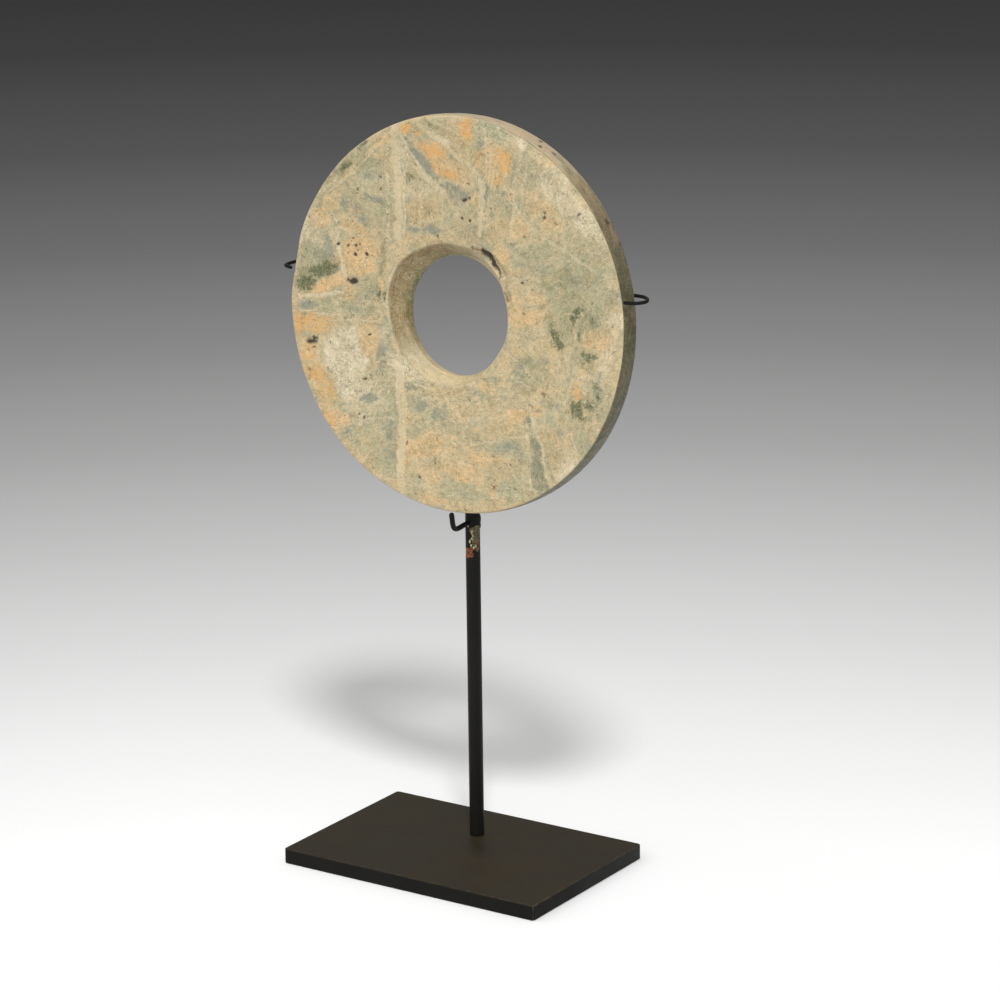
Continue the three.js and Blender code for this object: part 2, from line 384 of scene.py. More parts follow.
class Recipe(Graph):
    """A Geometry Nodes tree with named inputs, which is run on an object and leaves a plain mesh."""

    def __init__(self, name: str) -> None:
        """Starts a tree with its geometry in and out.

        Args:
            name: The tree's name.
        """
        super().__init__(bpy.data.node_groups.new(name, "GeometryNodeTree"))
        self.tree.interface.new_socket("Geometry", in_out="INPUT", socket_type="NodeSocketGeometry")
        self.tree.interface.new_socket("Geometry", in_out="OUTPUT", socket_type="NodeSocketGeometry")
        self.start = self.add("NodeGroupInput")
        self.identifiers: dict[str, str] = {}

    def size(self, name: str, whole: bool = False) -> Socket:
        """Adds a named input.

        Args:
            name: The input's name.
            whole: Whether it is a whole number rather than a length.

        Returns:
            The socket that carries it in the tree.
        """
        kind = "NodeSocketInt" if whole else "NodeSocketFloat"
        item = self.tree.interface.new_socket(name, in_out="INPUT", socket_type=kind)
        self.identifiers[name] = item.identifier
        return self.start.outputs[name]

    def to_ends(self) -> tuple[Socket, Socket]:
        """Measures along the incoming curve.

        Returns:
            How far each point lies from its start and from its end.
        """
        run = self.add("GeometryNodeSplineParameter").outputs["Length"]
        whole = self.add("GeometryNodeSplineLength").outputs["Length"]
        return run, self.math("SUBTRACT", whole, run)

    def sweep(self, spacing: Socket, sides: Socket, radius: Socket, scale: Socket) -> Socket:
        """Sweeps a circle along the incoming curve and closes its two ends.

        Args:
            spacing: Distance between the rings.
            sides: Sides of a ring.
            radius: Radius of the circle.
            scale: Size of each ring beside that circle.

        Returns:
            The skin.
        """
        curve = self.start.outputs["Geometry"]
        even = self.add("GeometryNodeResampleCurve", {"Curve": curve, "Length": spacing}, mode="LENGTH")
        circle = self.add("GeometryNodeCurvePrimitiveCircle", {"Resolution": sides, "Radius": radius})
        ends = {"Curve": even.outputs["Curve"], "Profile Curve": circle.outputs["Curve"]}
        skin = self.add("GeometryNodeCurveToMesh", {**ends, "Scale": scale, "Fill Caps": True})
        return skin.outputs["Mesh"]

    def end(self, geometry: Socket, material: Material) -> None:
        """Closes the tree: smooth faces, real instances and the material.

        Args:
            geometry: The made geometry.
            material: The finish of all of it.
        """
        smooth = self.add("GeometryNodeSetShadeSmooth", {"Geometry": geometry})
        real = self.add("GeometryNodeRealizeInstances", {"Geometry": smooth.outputs[0]})
        dressed = self.add("GeometryNodeSetMaterial", {"Geometry": real.outputs[0], "Material": material})
        last = self.add("NodeGroupOutput")
        self.tree.links.new(dressed.outputs[0], last.inputs[0])

    def run(self, source: Piece, name: str, sizes: dict[str, float]) -> Piece:
        """Runs the tree on an object and keeps the result as a plain mesh.

        Args:
            source: The object that the tree starts from; it is removed.
            name: Name of the finished piece.
            sizes: A value for each named input.

        Returns:
            The finished piece, at the origin.
        """
        modifier = source.modifiers.new("recipe", "NODES")
        modifier.node_group = self.tree
        for label, value in sizes.items():
            modifier[self.identifiers[label]] = value
        evaluated = source.evaluated_get(bpy.context.evaluated_depsgraph_get())
        mesh = bpy.data.meshes.new_from_object(evaluated)
        mesh.name = name
        bpy.data.objects.remove(source)
        return stand(name, mesh)


def turned_recipe(name: str, material: Material) -> Recipe:
    """Builds the tree that turns a section once round a circle.

    Args:
        name: The tree's name.
        material: The finish of the turned piece.

    Returns:
        The tree.
    """
    recipe = Recipe(name)
    turns = recipe.size("Turns", whole=True)
    path = recipe.size("Path radius")
    circle = recipe.add("GeometryNodeCurvePrimitiveCircle", {"Resolution": turns, "Radius": path})
    profile = recipe.start.outputs["Geometry"]
    curves = {"Curve": circle.outputs["Curve"], "Profile Curve": profile}
    recipe.end(recipe.add("GeometryNodeCurveToMesh", curves).outputs["Mesh"], material)
    return recipe


def stand(name: str, mesh: bpy.types.Mesh) -> Piece:
    """Puts a mesh in the scene at the origin.

    Args:
        name: Name of the piece.
        mesh: Its mesh, already in place.

    Returns:
        The new object.
    """
    piece = bpy.data.objects.new(name, mesh)
    bpy.context.scene.collection.objects.link(piece)
    return piece


def line_object(name: str, points: Sequence[Sequence[float]], closed: bool = False) -> Piece:
    """Makes a curve of straight stretches for a recipe to start from.

    Args:
        name: The curve's name.
        points: Its points in millimetres, with two or three numbers each.
        closed: Whether its end joins its start.

    Returns:
        The curve object, in metres.
    """
    curve = bpy.data.curves.new(name, "CURVE")
    curve.dimensions = "3D"
    spline = curve.splines.new("POLY")
    spline.points.add(len(points) - 1)
    for target, point in zip(spline.points, points):
        whole = [*point, 0.0][:3]
        target.co = (*(MM * value for value in whole), 1.0)
    spline.use_cyclic_u = closed
    source = bpy.data.objects.new(name, curve)
    bpy.context.scene.collection.objects.link(source)
    return source


def places_of(piece: Piece) -> Array:
    """Reads a piece's vertices.

    Args:
        piece: The piece.

    Returns:
        Its vertices in millimetres, one a row.
    """
    flat = np.zeros(3 * len(piece.data.vertices))
    piece.data.vertices.foreach_get("co", flat)
    return flat.reshape(-1, 3) / MM


def put_places(piece: Piece, places: Array) -> None:
    """Writes a piece's vertices back, given in millimetres."""
    piece.data.vertices.foreach_set("co", (places * MM).ravel())
    piece.data.update()


def put_tint(piece: Piece, name: str, colours: Array) -> None:
    """Stores a colour for each vertex.

    Args:
        piece: The piece.
        name: Name that its material reads.
        colours: Three or four numbers a row.
    """
    layer = piece.data.color_attributes.new(name, "FLOAT_COLOR", "POINT")
    full = np.ones((len(colours), 4))
    full[:, : colours.shape[1]] = colours
    layer.data.foreach_set("color", full.ravel())


def attach(piece: Piece, slot: str, *nodes: str) -> Piece:
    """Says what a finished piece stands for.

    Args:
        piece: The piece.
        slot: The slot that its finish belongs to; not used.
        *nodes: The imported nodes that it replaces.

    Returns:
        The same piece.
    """
    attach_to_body(piece, BODY)
    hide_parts(*nodes)
    LOG.info("%s: %d faces, for %s", piece.name, len(piece.data.polygons), ", ".join(nodes))
    return piece


# Layout that the pieces share, in millimetres, as in the part's source

@dataclass(frozen=True)
class Layout:
    """Sizes and places that more than one piece needs."""

    contact_gap: float = 0.3
    bead_gap: float = 0.1
    plate_length: float = 138.0
    plate_width: float = 92.0
    plate_thickness: float = 7.1
    post_radius: float = 3.175
    post_x: float = -3.0
    post_y: float = 16.6
    post_lap: float = 53.8
    disc_radius: float = 90.0
    disc_thickness: float = 12.4
    disc_lean: float = math.radians(3.4)
    disc_offset: float = -0.4
    seat: float = 168.2

    @property
    def post_top(self) -> float:
        """Height of the post's top."""
        return self.seat + self.post_lap

    @property
    def disc_up(self) -> Array:
        """Direction up the leaning face."""
        return np.array((0.0, math.sin(self.disc_lean), math.cos(self.disc_lean)))

    @property
    def disc_in(self) -> Array:
        """Direction in through the disc's thickness."""
        return np.array((0.0, math.cos(self.disc_lean), -math.sin(self.disc_lean)))

    @property
    def disc_centre(self) -> Array:
        """Middle of the disc's front face.

        Returns:
            The point in millimetres.
        """
        height = self.seat + self.disc_radius * math.cos(self.disc_lean)
        lean_at_top = (self.post_top - height) * math.sin(self.disc_lean)
        depth = (self.disc_thickness + lean_at_top) / math.cos(self.disc_lean)
        forward = self.post_y - self.post_radius - self.contact_gap - depth
        return np.array((self.post_x + self.disc_offset, forward, height))

    def on_disc(self, across: Array, depth: Array, up: Array) -> Array:
        """Places points given in the disc's own directions.

        Args:
            across: To the right of the front face's middle.
            depth: In through the thickness.
            up: Up the leaning face.

        Returns:
            The points in the shared frame.
        """
        parts = [np.asarray(v, float)[..., None] for v in (across, depth, up)]
        axes = (np.array((1.0, 0.0, 0.0)), self.disc_in, self.disc_up)
        return self.disc_centre + sum(part * axis for part, axis in zip(parts, axes))


LAYOUT = Layout()


# The stone

@dataclass(frozen=True)
class Stain:
    """A soft-edged patch of colour on the shown face, placed from the disc's middle."""

    across: float
    up: float
    long: float
    wide: float
    strength: float
    turn: float = 0.0


@dataclass(frozen=True)
class Vein:
    """A band of colour along a bent line on the shown face."""

    hue: Stone
    width: float
    strength: float
    line: tuple[tuple[float, float], ...]


@dataclass(frozen=True)
class Lines:
    """A field of fine lines that run one way."""

    across: float
    up: float
    long: float
    wide: float
    turn: float
    spacing: float
    hue: Stone
    strength: float


def rows(kind: type, *values: tuple) -> tuple:
    """Makes one mark of a kind from each row of its values."""
    return tuple(kind(*row) for row in values)


STAINS: dict[Stone, tuple[Stain, ...]] = {
    Stone.PALE: rows(
        Stain,
        (-58, -24, 13, 14, 0.85), (-55, -39, 9, 7, 0.6), (70, 48, 6, 8, 0.7, 60), (52, 64, 10, 7, 0.5, -40),
        (83, 8, 4, 10, 0.65, 80), (62, -63, 4, 7, 0.6, -40), (-22, -25, 8, 3, 0.8, 10),
        (0, -28, 16, 2.2, 0.6), (-84, 30, 2, 12, 0.5, -20), (35.5, 80.5, 2.2, 3, 0.8, 20),
        (80, -8, 5, 8, 0.4), (60, 56, 7, 6, 0.4), (-28, 70, 3, 13, 0.5), (-8, 79, 6, 2.5, 0.4, -20),
        (58, -32, 3, 1.5, 0.6),
    ),
    Stone.TAN: rows(
        Stain,
        (-12, -72, 13, 3.6, 0.6, 8), (30, -82, 8, 3, 0.5, 20), (-2, -35, 14, 2.6, 0.6, -4),
        (-16, 46, 9, 6, 0.55), (-12, 32.5, 12, 2, 0.7, 5), (43, 55, 4, 6, 0.6), (26, 40, 6, 9, 0.55),
        (5, -40, 16, 6, 0.5, 5), (10, -66, 16, 9, 0.45), (35, -14, 5, 9, 0.5, -20), (50, -27, 9, 3, 0.45),
        (54, -52, 6, 8, 0.55, 15), (-47, -70, 12, 7, 0.4, -40), (20, -84, 14, 3, 0.4, 10),
        (55, 38.5, 3, 2, 0.7), (27, -50, 11, 6, 0.5), (55, -16, 8, 8, 0.35), (-40, 30, 4, 6, 0.3),
    ),
    Stone.PEACH: rows(
        Stain,
        (-13, -62, 12, 4.6, 0.65, 12), (9, -71, 15, 4.6, 0.6, -8), (20, -63, 9, 3.6, 0.6, 6),
        (-8, -85, 9, 2.4, 0.5), (41, 3, 8, 4.6, 0.55, -10), (46, -38, 6, 3, 0.5, 30),
        (-52, 21, 12, 10, 0.85, 10), (-69, 7, 13, 3.4, 0.85, 27), (-67, 45, 6, 4.5, 0.6, 20),
        (-73, 37, 6, 5, 0.55, 40), (-53, 33.5, 9, 3.4, 0.65, -10), (-45, -15, 7, 10, 0.5),
        (37, 2, 7, 4.5, 0.75), (45, 13, 5, 3, 0.45), (27, 29, 5, 4, 0.6), (35, 43, 5, 5, 0.5),
        (76, -4, 8, 4.5, 0.6, 10), (36, -41, 6, 4, 0.6), (20, 70, 12, 9, 0.5), (-5, -55, 9, 4, 0.55, 10),
        (30, -66, 11, 5, 0.5), (-38, 77, 8, 3, 0.5, 30), (-2, 66, 12, 5, 0.45, -20),
        (-25, 55, 6, 2, 0.4, 10), (-62, -56, 9, 5, 0.65, 10), (72, -16, 7, 5, 0.3), (52, 46, 6, 4, 0.35),
        (-38, -57, 6, 5, 0.3), (-10, -76, 7, 3.4, 0.5, -10), (24, -76, 4, 3, 0.5), (55, -8, 6, 3, 0.35),
        (-24, -55, 3, 12, 0.4),
    ),
    Stone.ORANGE: rows(
        Stain,
        (6, 84, 4, 5.5, 0.85, 10), (-27, 82, 3.5, 3, 0.75), (-20, 80.5, 5, 1.6, 0.45),
        (-12, 73, 8, 3.6, 0.7, -12), (-3, 63.5, 6, 3, 0.6, -5), (-9, 67, 6, 4, 0.35, -20),
        (26, 72, 4, 6.5, 0.6, -10), (23, 63, 2.5, 3, 0.5), (-85, -13, 3, 6, 0.8), (-75, -12, 12, 5.5, 0.5),
        (-80, -25, 6, 8, 0.45, -20), (-75, -35, 7, 5, 0.6, -10), (-69, -43, 7, 8, 0.5, 30),
        (-67, -56, 6, 4.5, 0.45, -40), (66.5, -26, 3, 5, 0.6), (-24, -69, 2.2, 4, 0.5, 10),
        (-25, -82, 2.4, 4.5, 0.35), (15, 74, 3, 1.6, 0.4), (36, -40, 3.5, 2, 0.35, -10),
        (72, -4, 3, 2, 0.3, 20),
    ),
    Stone.GREY_GREEN: rows(
        Stain,
        (-18, -54, 9, 3.4, 0.65, 30), (3, -51, 13, 2.6, 0.6, 14), (27, -57, 13, 3, 0.7, 4),
        (-35, -72, 9, 5, 0.55, -40), (12, -80, 12, 2.6, 0.55, -4), (42, 31, 10, 6, 0.55, 22),
        (-78, 17, 10, 10, 0.8), (-46, 62, 9, 7, 0.65), (-56, 66, 12, 3.4, 0.65, 42), (66, 18, 18, 18, 0.6),
        (52, 30, 14, 10, 0.5, 10), (-45, 52, 12, 14, 0.45), (30, -70, 14, 8, 0.4),
        (-38, -48, 12, 16, 0.4, 30), (20, 84.5, 11, 5, 0.75, -5), (6, 44, 10, 8, 0.5), (66, 34, 9, 10, 0.5),
        (58, 22, 12, 8, 0.6, 10), (74, 14, 10, 12, 0.35), (40, 30, 9, 6, 0.5), (-60, -3, 22, 3.6, 0.75),
        (-45, -60, 16, 9, 0.5), (-33, -32, 5, 22, 0.5), (44, -20, 10, 7, 0.45), (4, -80, 12, 5, 0.5),
        (33, -57, 11, 5, 0.5), (70, -50, 5, 6, 0.55, 30), (-16, -42, 8, 5, 0.5, 15), (62, -40, 6, 5, 0.3),
        (-37, 45, 7, 12, 0.45), (15, -36, 12, 3, 0.4, 5), (78, -30, 5, 10, 0.45, 20),
        (48, 68, 8, 3, 0.3, -30), (-12, 86, 7, 1.6, 0.4), (60, 4, 12, 10, 0.35), (33, -76, 8, 5, 0.5),
        (-20, -80, 7, 5, 0.4), (-45, 8, 8, 6, 0.35),
    ),
    Stone.BLUE_GREY: rows(
        Stain,
        (-18.5, 68.5, 13, 2.5, 0.9, -41), (-1, 57, 7, 2.4, 0.7, -12), (-68, 24, 7, 3.4, 0.7, -62),
        (-46, 58.5, 3.2, 2, 0.7), (-43, 48.3, 5.5, 2.2, 0.7, -8), (-61, 45.5, 5, 3, 0.6, 10),
        (-52, 43, 5, 3, 0.6, -20), (-49, 38, 5, 2.5, 0.6, -30), (-44, 33, 3.5, 4, 0.4),
        (-20, 37, 5, 2.3, 0.75), (-10, 38, 6, 2.6, 0.6, 5), (3, 54, 6, 4.5, 0.6), (16.5, 56, 2.2, 6, 0.6),
        (25, 57.5, 3, 1.8, 0.6), (14, 77, 3, 2, 0.5, 20), (31.5, 66, 1.6, 8, 0.5, -18),
        (-80, -3.5, 6, 2.6, 0.7), (-36, -22, 4, 7, 0.65, -15), (-45, -43.5, 7, 2.8, 0.8, 12),
        (-57, -47, 6, 1.4, 0.5, 22), (-33, -57, 4, 7, 0.6), (-57, -61, 5, 2.4, 0.5, -20),
        (-32, -67, 4, 4, 0.4), (-5, -46, 6.5, 3, 0.7, 22), (-15, -43, 4.5, 3.4, 0.6), (38, -22, 3, 8, 0.4),
        (32, -57, 8, 3.4, 0.5, 5), (56, -34, 4, 3, 0.6), (25, -27, 4, 2, 0.5, 20),
        (15, -33, 4.5, 2, 0.5, 10), (77, 36, 4, 5, 0.5, 60), (72, -50, 4, 3, 0.4, -30),
        (38, 27, 5, 3, 0.45), (-63, 15, 2, 4, 0.6, -20), (12, 38, 4, 5, 0.4), (78, -23, 3.5, 7, 0.5),
        (46, 25, 3, 2, 0.4), (-31, -13, 3, 4, 0.4), (-54, -3, 9, 1.8, 0.5, -3),
    ),
    Stone.SLATE: rows(
        Stain,
        (42.4, -43.2, 3, 1.3, 0.85, -70), (46.8, -55, 7, 2.2, 0.7, -64), (48.4, -66, 10, 4.6, 0.75, -76),
        # The slate stain at (-20, -34.5) is painted shadow below the scoop at the mouth's lower left.
        (-20, -34.5, 4.6, 3, 0.7, -20), (-72, 20, 5, 4, 0.5), (17.5, 57.5, 1.4, 3.5, 0.6, -10),
        (4, 54, 4.5, 2, 0.5), (-46, -44, 4, 1.5, 0.5, 14), (42, -16, 2.6, 1.6, 0.5, 40),
        (50, -15, 2, 1.6, 0.4), (37, 32, 4, 1.6, 0.4), (-9, 37, 5, 1.2, 0.4, 5), (75, 6, 4, 3.4, 0.4),
        (66, 23, 5, 3.4, 0.4, 20), (84, 17, 3, 3, 0.35),
    ),
    Stone.OLIVE: rows(
        Stain,
        (67, 6, 8, 7, 0.35), (71, -11, 8, 6, 0.35), (70, -33, 8, 7, 0.4), (56, -4, 5, 7, 0.35, 20),
        # The olive stain at (-16, -33.5) is painted shadow below the scoop at the mouth's lower left.
        (-16, -33.5, 6, 2, 0.5, -10), (49, -63, 6, 1.4, 0.5, -74), (-81, 9, 8, 5, 0.6, 30),
        (-69.5, 54.5, 3, 1.8, 0.6, 40), (-36, 22, 1.8, 10, 0.5, 8), (55, 22, 9, 4, 0.45, 25),
        (61, 18, 5, 4, 0.35), (-59, 62, 5, 3, 0.6, 40), (72, 24, 3, 2, 0.4), (-12, 85, 4, 1.8, 0.45, -25),
        (57, -1, 5, 6, 0.4, -30), (-5, 81, 4, 2, 0.35, -10), (-24.5, 60, 3.4, 2.6, 0.4, 30),
        (53, 4, 4, 3, 0.35),
    ),
    Stone.DARK_GREEN: rows(
        Stain,
        (-71, 13.5, 9, 3.4, 0.95, 17), (-80.5, 6.5, 6, 3.6, 0.85, 20), (-67, 17, 4, 3, 0.5),
        (-59, 62.3, 4.6, 1.8, 0.75, 38), (-51, 70.5, 2.4, 1.8, 0.65, 50), (-48, 73, 2.4, 1, 0.5, 30),
        (-37.4, 5, 2.2, 3, 0.75), (-33, 5.5, 1.6, 3, 0.7, -10), (65.5, 7, 2, 4.5, 0.85, -20),
        (68, 11, 2.4, 1.8, 0.6), (55.5, -3.5, 2.2, 5.5, 0.8, 28), (58.5, -6, 1.6, 1.4, 0.7),
        (71.5, -10.5, 3, 3, 0.8, -30), (75.5, -9.5, 2.4, 1.6, 0.7), (69.5, -14.2, 1.4, 0.8, 0.6),
        (67.3, -34, 3.4, 4, 0.85, -30), (73, -31.5, 2.6, 4, 0.8, 10), (71, -37.5, 2.4, 1.6, 0.6),
        (78, -25, 2, 5.5, 0.5), (67.4, -1, 1.4, 2.4, 0.6), (-24.6, 60.5, 2.2, 1.6, 0.45),
        (-81.7, 21.7, 1.2, 1, 0.6), (74, 5, 1.6, 3, 0.4), (-14, 85.5, 2, 1.2, 0.4, -30),
        (-39.5, 54, 1.6, 1.2, 0.6, -30), (-40, 59, 1.2, 0.8, 0.5), (-36.5, 26, 1.2, 2.4, 0.4),
    ),
    Stone.PLUM: rows(
        Stain,
        (43.4, -35.8, 1.6, 1, 0.7, -40), (46.8, -38.2, 2.4, 1.1, 0.7, 10), (49.5, -28.8, 1.6, 1, 0.5),
        (37, 42.5, 2, 1.4, 0.35),
    ),
    Stone.UMBER: rows(
        Stain,
        (14.8, 73.8, 1.8, 0.8, 0.75), (-83.5, -11.5, 1.6, 1.4, 0.6), (49.8, -29, 1.3, 0.8, 0.8),
        (45, -29.4, 1.4, 0.7, 0.5), (2.2, 66.8, 1.4, 0.8, 0.5), (-32, 40, 1.4, 1, 0.5, 30),
        (24.3, -75, 0.9, 0.9, 0.6), (-55.2, -52, 1.4, 1, 0.6), (-46.8, 11.4, 1.2, 0.8, 0.6),
        (53, 59, 1.2, 0.8, 0.4), (-77.5, -35, 1.4, 2.6, 0.5), (70, -40.5, 1.4, 0.7, 0.5),
    ),
}

VEINS: tuple[Vein, ...] = rows(
    Vein,
    (Stone.CREAM, 4.2, 0.9, ((-32.6, 82), (-30.6, 60), (-28.6, 32))),
    (Stone.PALE, 1.0, 0.7, ((-29, 79), (-27, 60), (-25.6, 34))),
    (Stone.CREAM, 3.8, 0.85, ((-27, -24), (-26, -50), (-26, -84))),
    (Stone.PALE, 1.0, 0.6, ((-28, -28), (-27.5, -60), (-28, -78))),
    (Stone.PALE, 1.3, 0.75, ((-28, 76), (-18, 64), (-2, 52))),
    (Stone.CREAM, 1.6, 0.6, ((-22, 66), (-12, 58), (0, 49))),
    (Stone.CREAM, 2.2, 0.7, ((-19, 83), (-8, 78), (10, 66), (15, 60), (15, 38))),
    (Stone.CREAM, 2.0, 0.6, ((36, 80), (33, 62), (31, 36))),
    (Stone.PALE, 1.0, 0.5, ((38, 76), (36.5, 58), (35, 48))),
    (Stone.PEACH, 1.5, 0.85, ((-59, 59.5), (-48, 67.5), (-38, 78))),
    (Stone.CREAM, 1.3, 0.7, ((-70, 49), (-58, 57), (-46, 69))),
    (Stone.PALE, 1.4, 0.7, ((-64, 29), (-62, 20), (-59, 12))),
    (Stone.PALE, 1.3, 0.7, ((-88, 4), (-84, 0), (-70, 2), (-60, 4))),
    (Stone.CREAM, 1.4, 0.8, ((43, -40), (49, -52), (54, -72))),
    (Stone.CREAM, 1.2, 0.6, ((41, -46), (43.4, -58), (44, -74))),
    (Stone.PALE, 0.9, 0.6, ((64, -44), (66, -54), (69, -60))),
    (Stone.PALE, 1.4, 0.6, ((-40, -26), (-30, -22), (-18, -24), (-4, -29))),
    (Stone.CREAM, 1.0, 0.6, ((-60, -49), (-46, -40), (-30, -27))),
    (Stone.CREAM, 1.0, 0.5, ((-52, -52), (-40, -45), (-28, -34))),
    (Stone.CREAM, 1.2, 0.5, ((-20, -50), (-8, -42), (6, -38))),
    (Stone.CREAM, 1.5, 0.4, ((62, 40), (70, 20), (66, 0), (62, -20))),
    (Stone.PALE, 0.9, 0.6, ((-70, 44), (-64, 36), (-55, 30))),
    (Stone.PALE, 0.8, 0.6, ((-36, 80), (-37, 62), (-36, 44), (-34, 30))),
    (Stone.PALE, 0.8, 0.6, ((14, 88), (17, 76), (16, 60), (17, 44))),
    (Stone.PALE, 0.9, 0.6, ((-88, -6), (-74, -6.5), (-52, -7.5), (-38, -8))),
    (Stone.PALE, 0.7, 0.6, ((28, 56), (44, 42), (60, 34), (80, 26))),
    (Stone.PALE, 0.7, 0.5, ((50, 66), (62, 56), (76, 40))),
    (Stone.PALE, 0.7, 0.5, ((34, 20), (48, 24), (62, 12), (72, -6))),
    (Stone.PALE, 0.7, 0.5, ((30, -12), (46, -24), (66, -30), (80, -34))),
    (Stone.PALE, 0.8, 0.55, ((-20, -52), (6, -58), (26, -54), (40, -50))),
    (Stone.PALE, 0.7, 0.5, ((-66, -60), (-52, -56), (-32, -50))),
    (Stone.PALE, 0.8, 0.9, ((-34, -21.5), (-26, -24), (-13, -25.6))),
    (Stone.PALE, 0.7, 0.9, ((-33, -25.5), (-22, -28), (-8, -31))),
    (Stone.PALE, 0.7, 0.8, ((-31, -30), (-20, -32), (-10, -34))),
    (Stone.UMBER, 0.5, 0.5, ((-67, -13), (-58, -20), (-51, -27))),
    (Stone.UMBER, 0.5, 0.5, ((-65, -23), (-56, -22), (-49, -17))),
    (Stone.UMBER, 0.5, 0.4, ((-60, -11), (-57, -24), (-61, -35))),
    # Painted shadow in the chip at the mouth's upper right, with a softer brown edge round it, and in a notch
    # at the mouth's right edge.
    (Stone.UMBER, 2.6, 0.6, ((13.0, 30.8), (19.0, 29.4), (23.0, 25.4), (25.4, 21.0))),
    (Stone.SHADOW_AND_STROKE, 0.7, 0.7, ((11.5, 30.4), (16.5, 30.0))),
    (Stone.SHADOW_AND_STROKE, 2.3, 1.0, ((17.2, 29.8), (20.6, 27.6))),
    (Stone.SHADOW_AND_STROKE, 1.4, 1.0, ((20.0, 27.6), (23.6, 23.6))),
    (Stone.SHADOW_AND_STROKE, 0.8, 0.9, ((23.4, 23.8), (26.6, 19.4))),
    (Stone.SHADOW_AND_STROKE, 0.8, 0.8, ((29.6, 13.0), (30.6, 9.6))),
)

LINE_FIELDS: tuple[Lines, ...] = rows(
    Lines,
    (-45, -42, 18, 12, 28, 1.5, Stone.PALE, 0.55), (-20, -26, 18, 7, 4, 1.2, Stone.PALE, 0.7),
    (20, 84, 13, 5, -14, 1.3, Stone.DARK_GREEN, 0.32), (22, 83, 13, 6, -8, 1.6, Stone.PALE, 0.4),
    (10, -62, 26, 16, 3, 1.5, Stone.SAND, 0.35), (12, -40, 24, 8, 8, 1.4, Stone.CREAM, 0.45),
    (-30, 55, 6, 30, 92, 1.3, Stone.PALE, 0.4), (-60, 57, 20, 5, 40, 1.4, Stone.OLIVE, 0.45),
    (-75, 30, 8, 16, 62, 1.6, Stone.PALE, 0.4), (-55, -3, 26, 5, 2, 1.3, Stone.CREAM, 0.4),
    (34, 62, 7, 20, 84, 1.5, Stone.CREAM, 0.4), (70, -20, 16, 20, 70, 1.6, Stone.PALE, 0.25),
    (-48, 2, 18, 8, 14, 1.5, Stone.OLIVE, 0.25), (48, -60, 8, 18, -76, 1.5, Stone.SLATE, 0.35),
    (-58, -22, 14, 12, -25, 1.7, Stone.UMBER, 0.12), (46, 34, 18, 18, 24, 1.6, Stone.CREAM, 0.3),
    (-5, -46, 14, 8, 26, 1.2, Stone.CREAM, 0.5), (-60, 45, 16, 10, -35, 1.4, Stone.CREAM, 0.35),
)

# Hues whose edges the material breaks up by itself, with the channel that carries their share
CRISP = {Stone.DARK_GREEN: 0, Stone.ORANGE: 1, Stone.BLUE_GREY: 3}


@dataclass(frozen=True)
class Pit:
    """A dark hole in the shown face."""

    across: float
    up: float
    radius: float
    long: float = 1.0
    turn: float = 0.0


PITS: tuple[Pit, ...] = rows(
    Pit,
    (-54.4, 9.8, 1.5, 1.7, 10), (-57.4, 10.2, 0.8), (-63.2, 26.0, 0.7, 1.6, 30),
    (-57.4, 26.0, 0.6, 1.5, 30), (-53.2, 26.4, 0.7, 1.3, 70), (-54.8, 29.6, 0.5), (-51.0, 27.2, 0.5),
    (-53.6, 22.3, 0.8, 1.4, -15), (-52.2, 24.2, 0.5), (-47.2, 23.0, 0.8, 1.4, -35), (-57.6, 22.6, 0.4),
    (-56.0, 28.0, 0.35), (5.6, 52.6, 0.9, 1.8, 20), (8.2, 53.8, 0.5), (7.5, 60.3, 0.4, 2.2, 0),
    (47.6, 48.8, 0.7, 1.5, 40), (48.2, 51.0, 0.5, 1.6, 0), (44.4, 47.2, 0.35), (65.6, 51.9, 0.6, 1.7, 55),
    (19.9, 50.2, 0.4), (21.8, 49.8, 0.4), (4.6, 44.2, 0.6, 1.4, -30), (8.6, 43.7, 0.6, 1.3, -40),
    (37.6, 39.3, 0.5, 1.5, 0), (37.1, 18.8, 0.65), (38.2, 5.2, 0.5), (-77.6, -20.6, 1.2, 2.6, 8),
    (-75.6, -18.6, 0.7, 2.2, -4), (-76.2, -22.8, 0.5, 2.2, 20), (-44.8, -13.6, 0.55, 1.9, 20),
    (-47.2, -34.4, 0.55, 2.6, 18), (-50.6, -35.8, 0.4, 1.6, 0), (-49.4, -40.4, 0.35, 2.0, 10),
    (-58.0, -39.2, 0.35, 2.2, 10), (-50.1, -51.0, 0.6), (-47.4, -52.2, 0.6, 1.5, 80),
    (-23.4, -61.2, 0.5, 2.0, 65), (-42.8, -71.4, 0.5), (-16.2, -76.0, 0.5, 1.5, -20), (33.0, -63.8, 0.6),
    (24.3, -75.1, 0.45), (-18.2, -84.2, 0.35, 1.8, 10), (-67.0, -19.8, 0.5), (-58.8, -8.0, 0.4),
    (-52.4, 52.4, 0.4, 2.2, 70), (-52.8, 50.4, 0.35), (-8.4, 35.2, 0.4, 1.6, 60), (73.8, 13.8, 0.4),
    (42.4, 16.4, 0.4), (-40.2, 58.8, 0.5, 1.6, -20),
)


@dataclass(frozen=True)
class RimPit:
    """A dark hole in the rim: its angle, its depth from the shown face and its radius."""

    angle: float
    depth: float
    radius: float


RIM_PITS: tuple[RimPit, ...] = rows(
    RimPit,
    (33, 8, 1.3), (26, 10.5, 1.0), (64, 9, 0.9), (62, 4, 0.9), (58, 7, 1.0), (9, 6, 0.8), (-14, 4, 0.9),
)


@dataclass(frozen=True)
class Chip:
    """A scoop out of the mouth's edge: polar place, and half sizes along the edge, across it and inwards."""

    angle: float
    radius: float
    along: float
    across: float
    deep: float


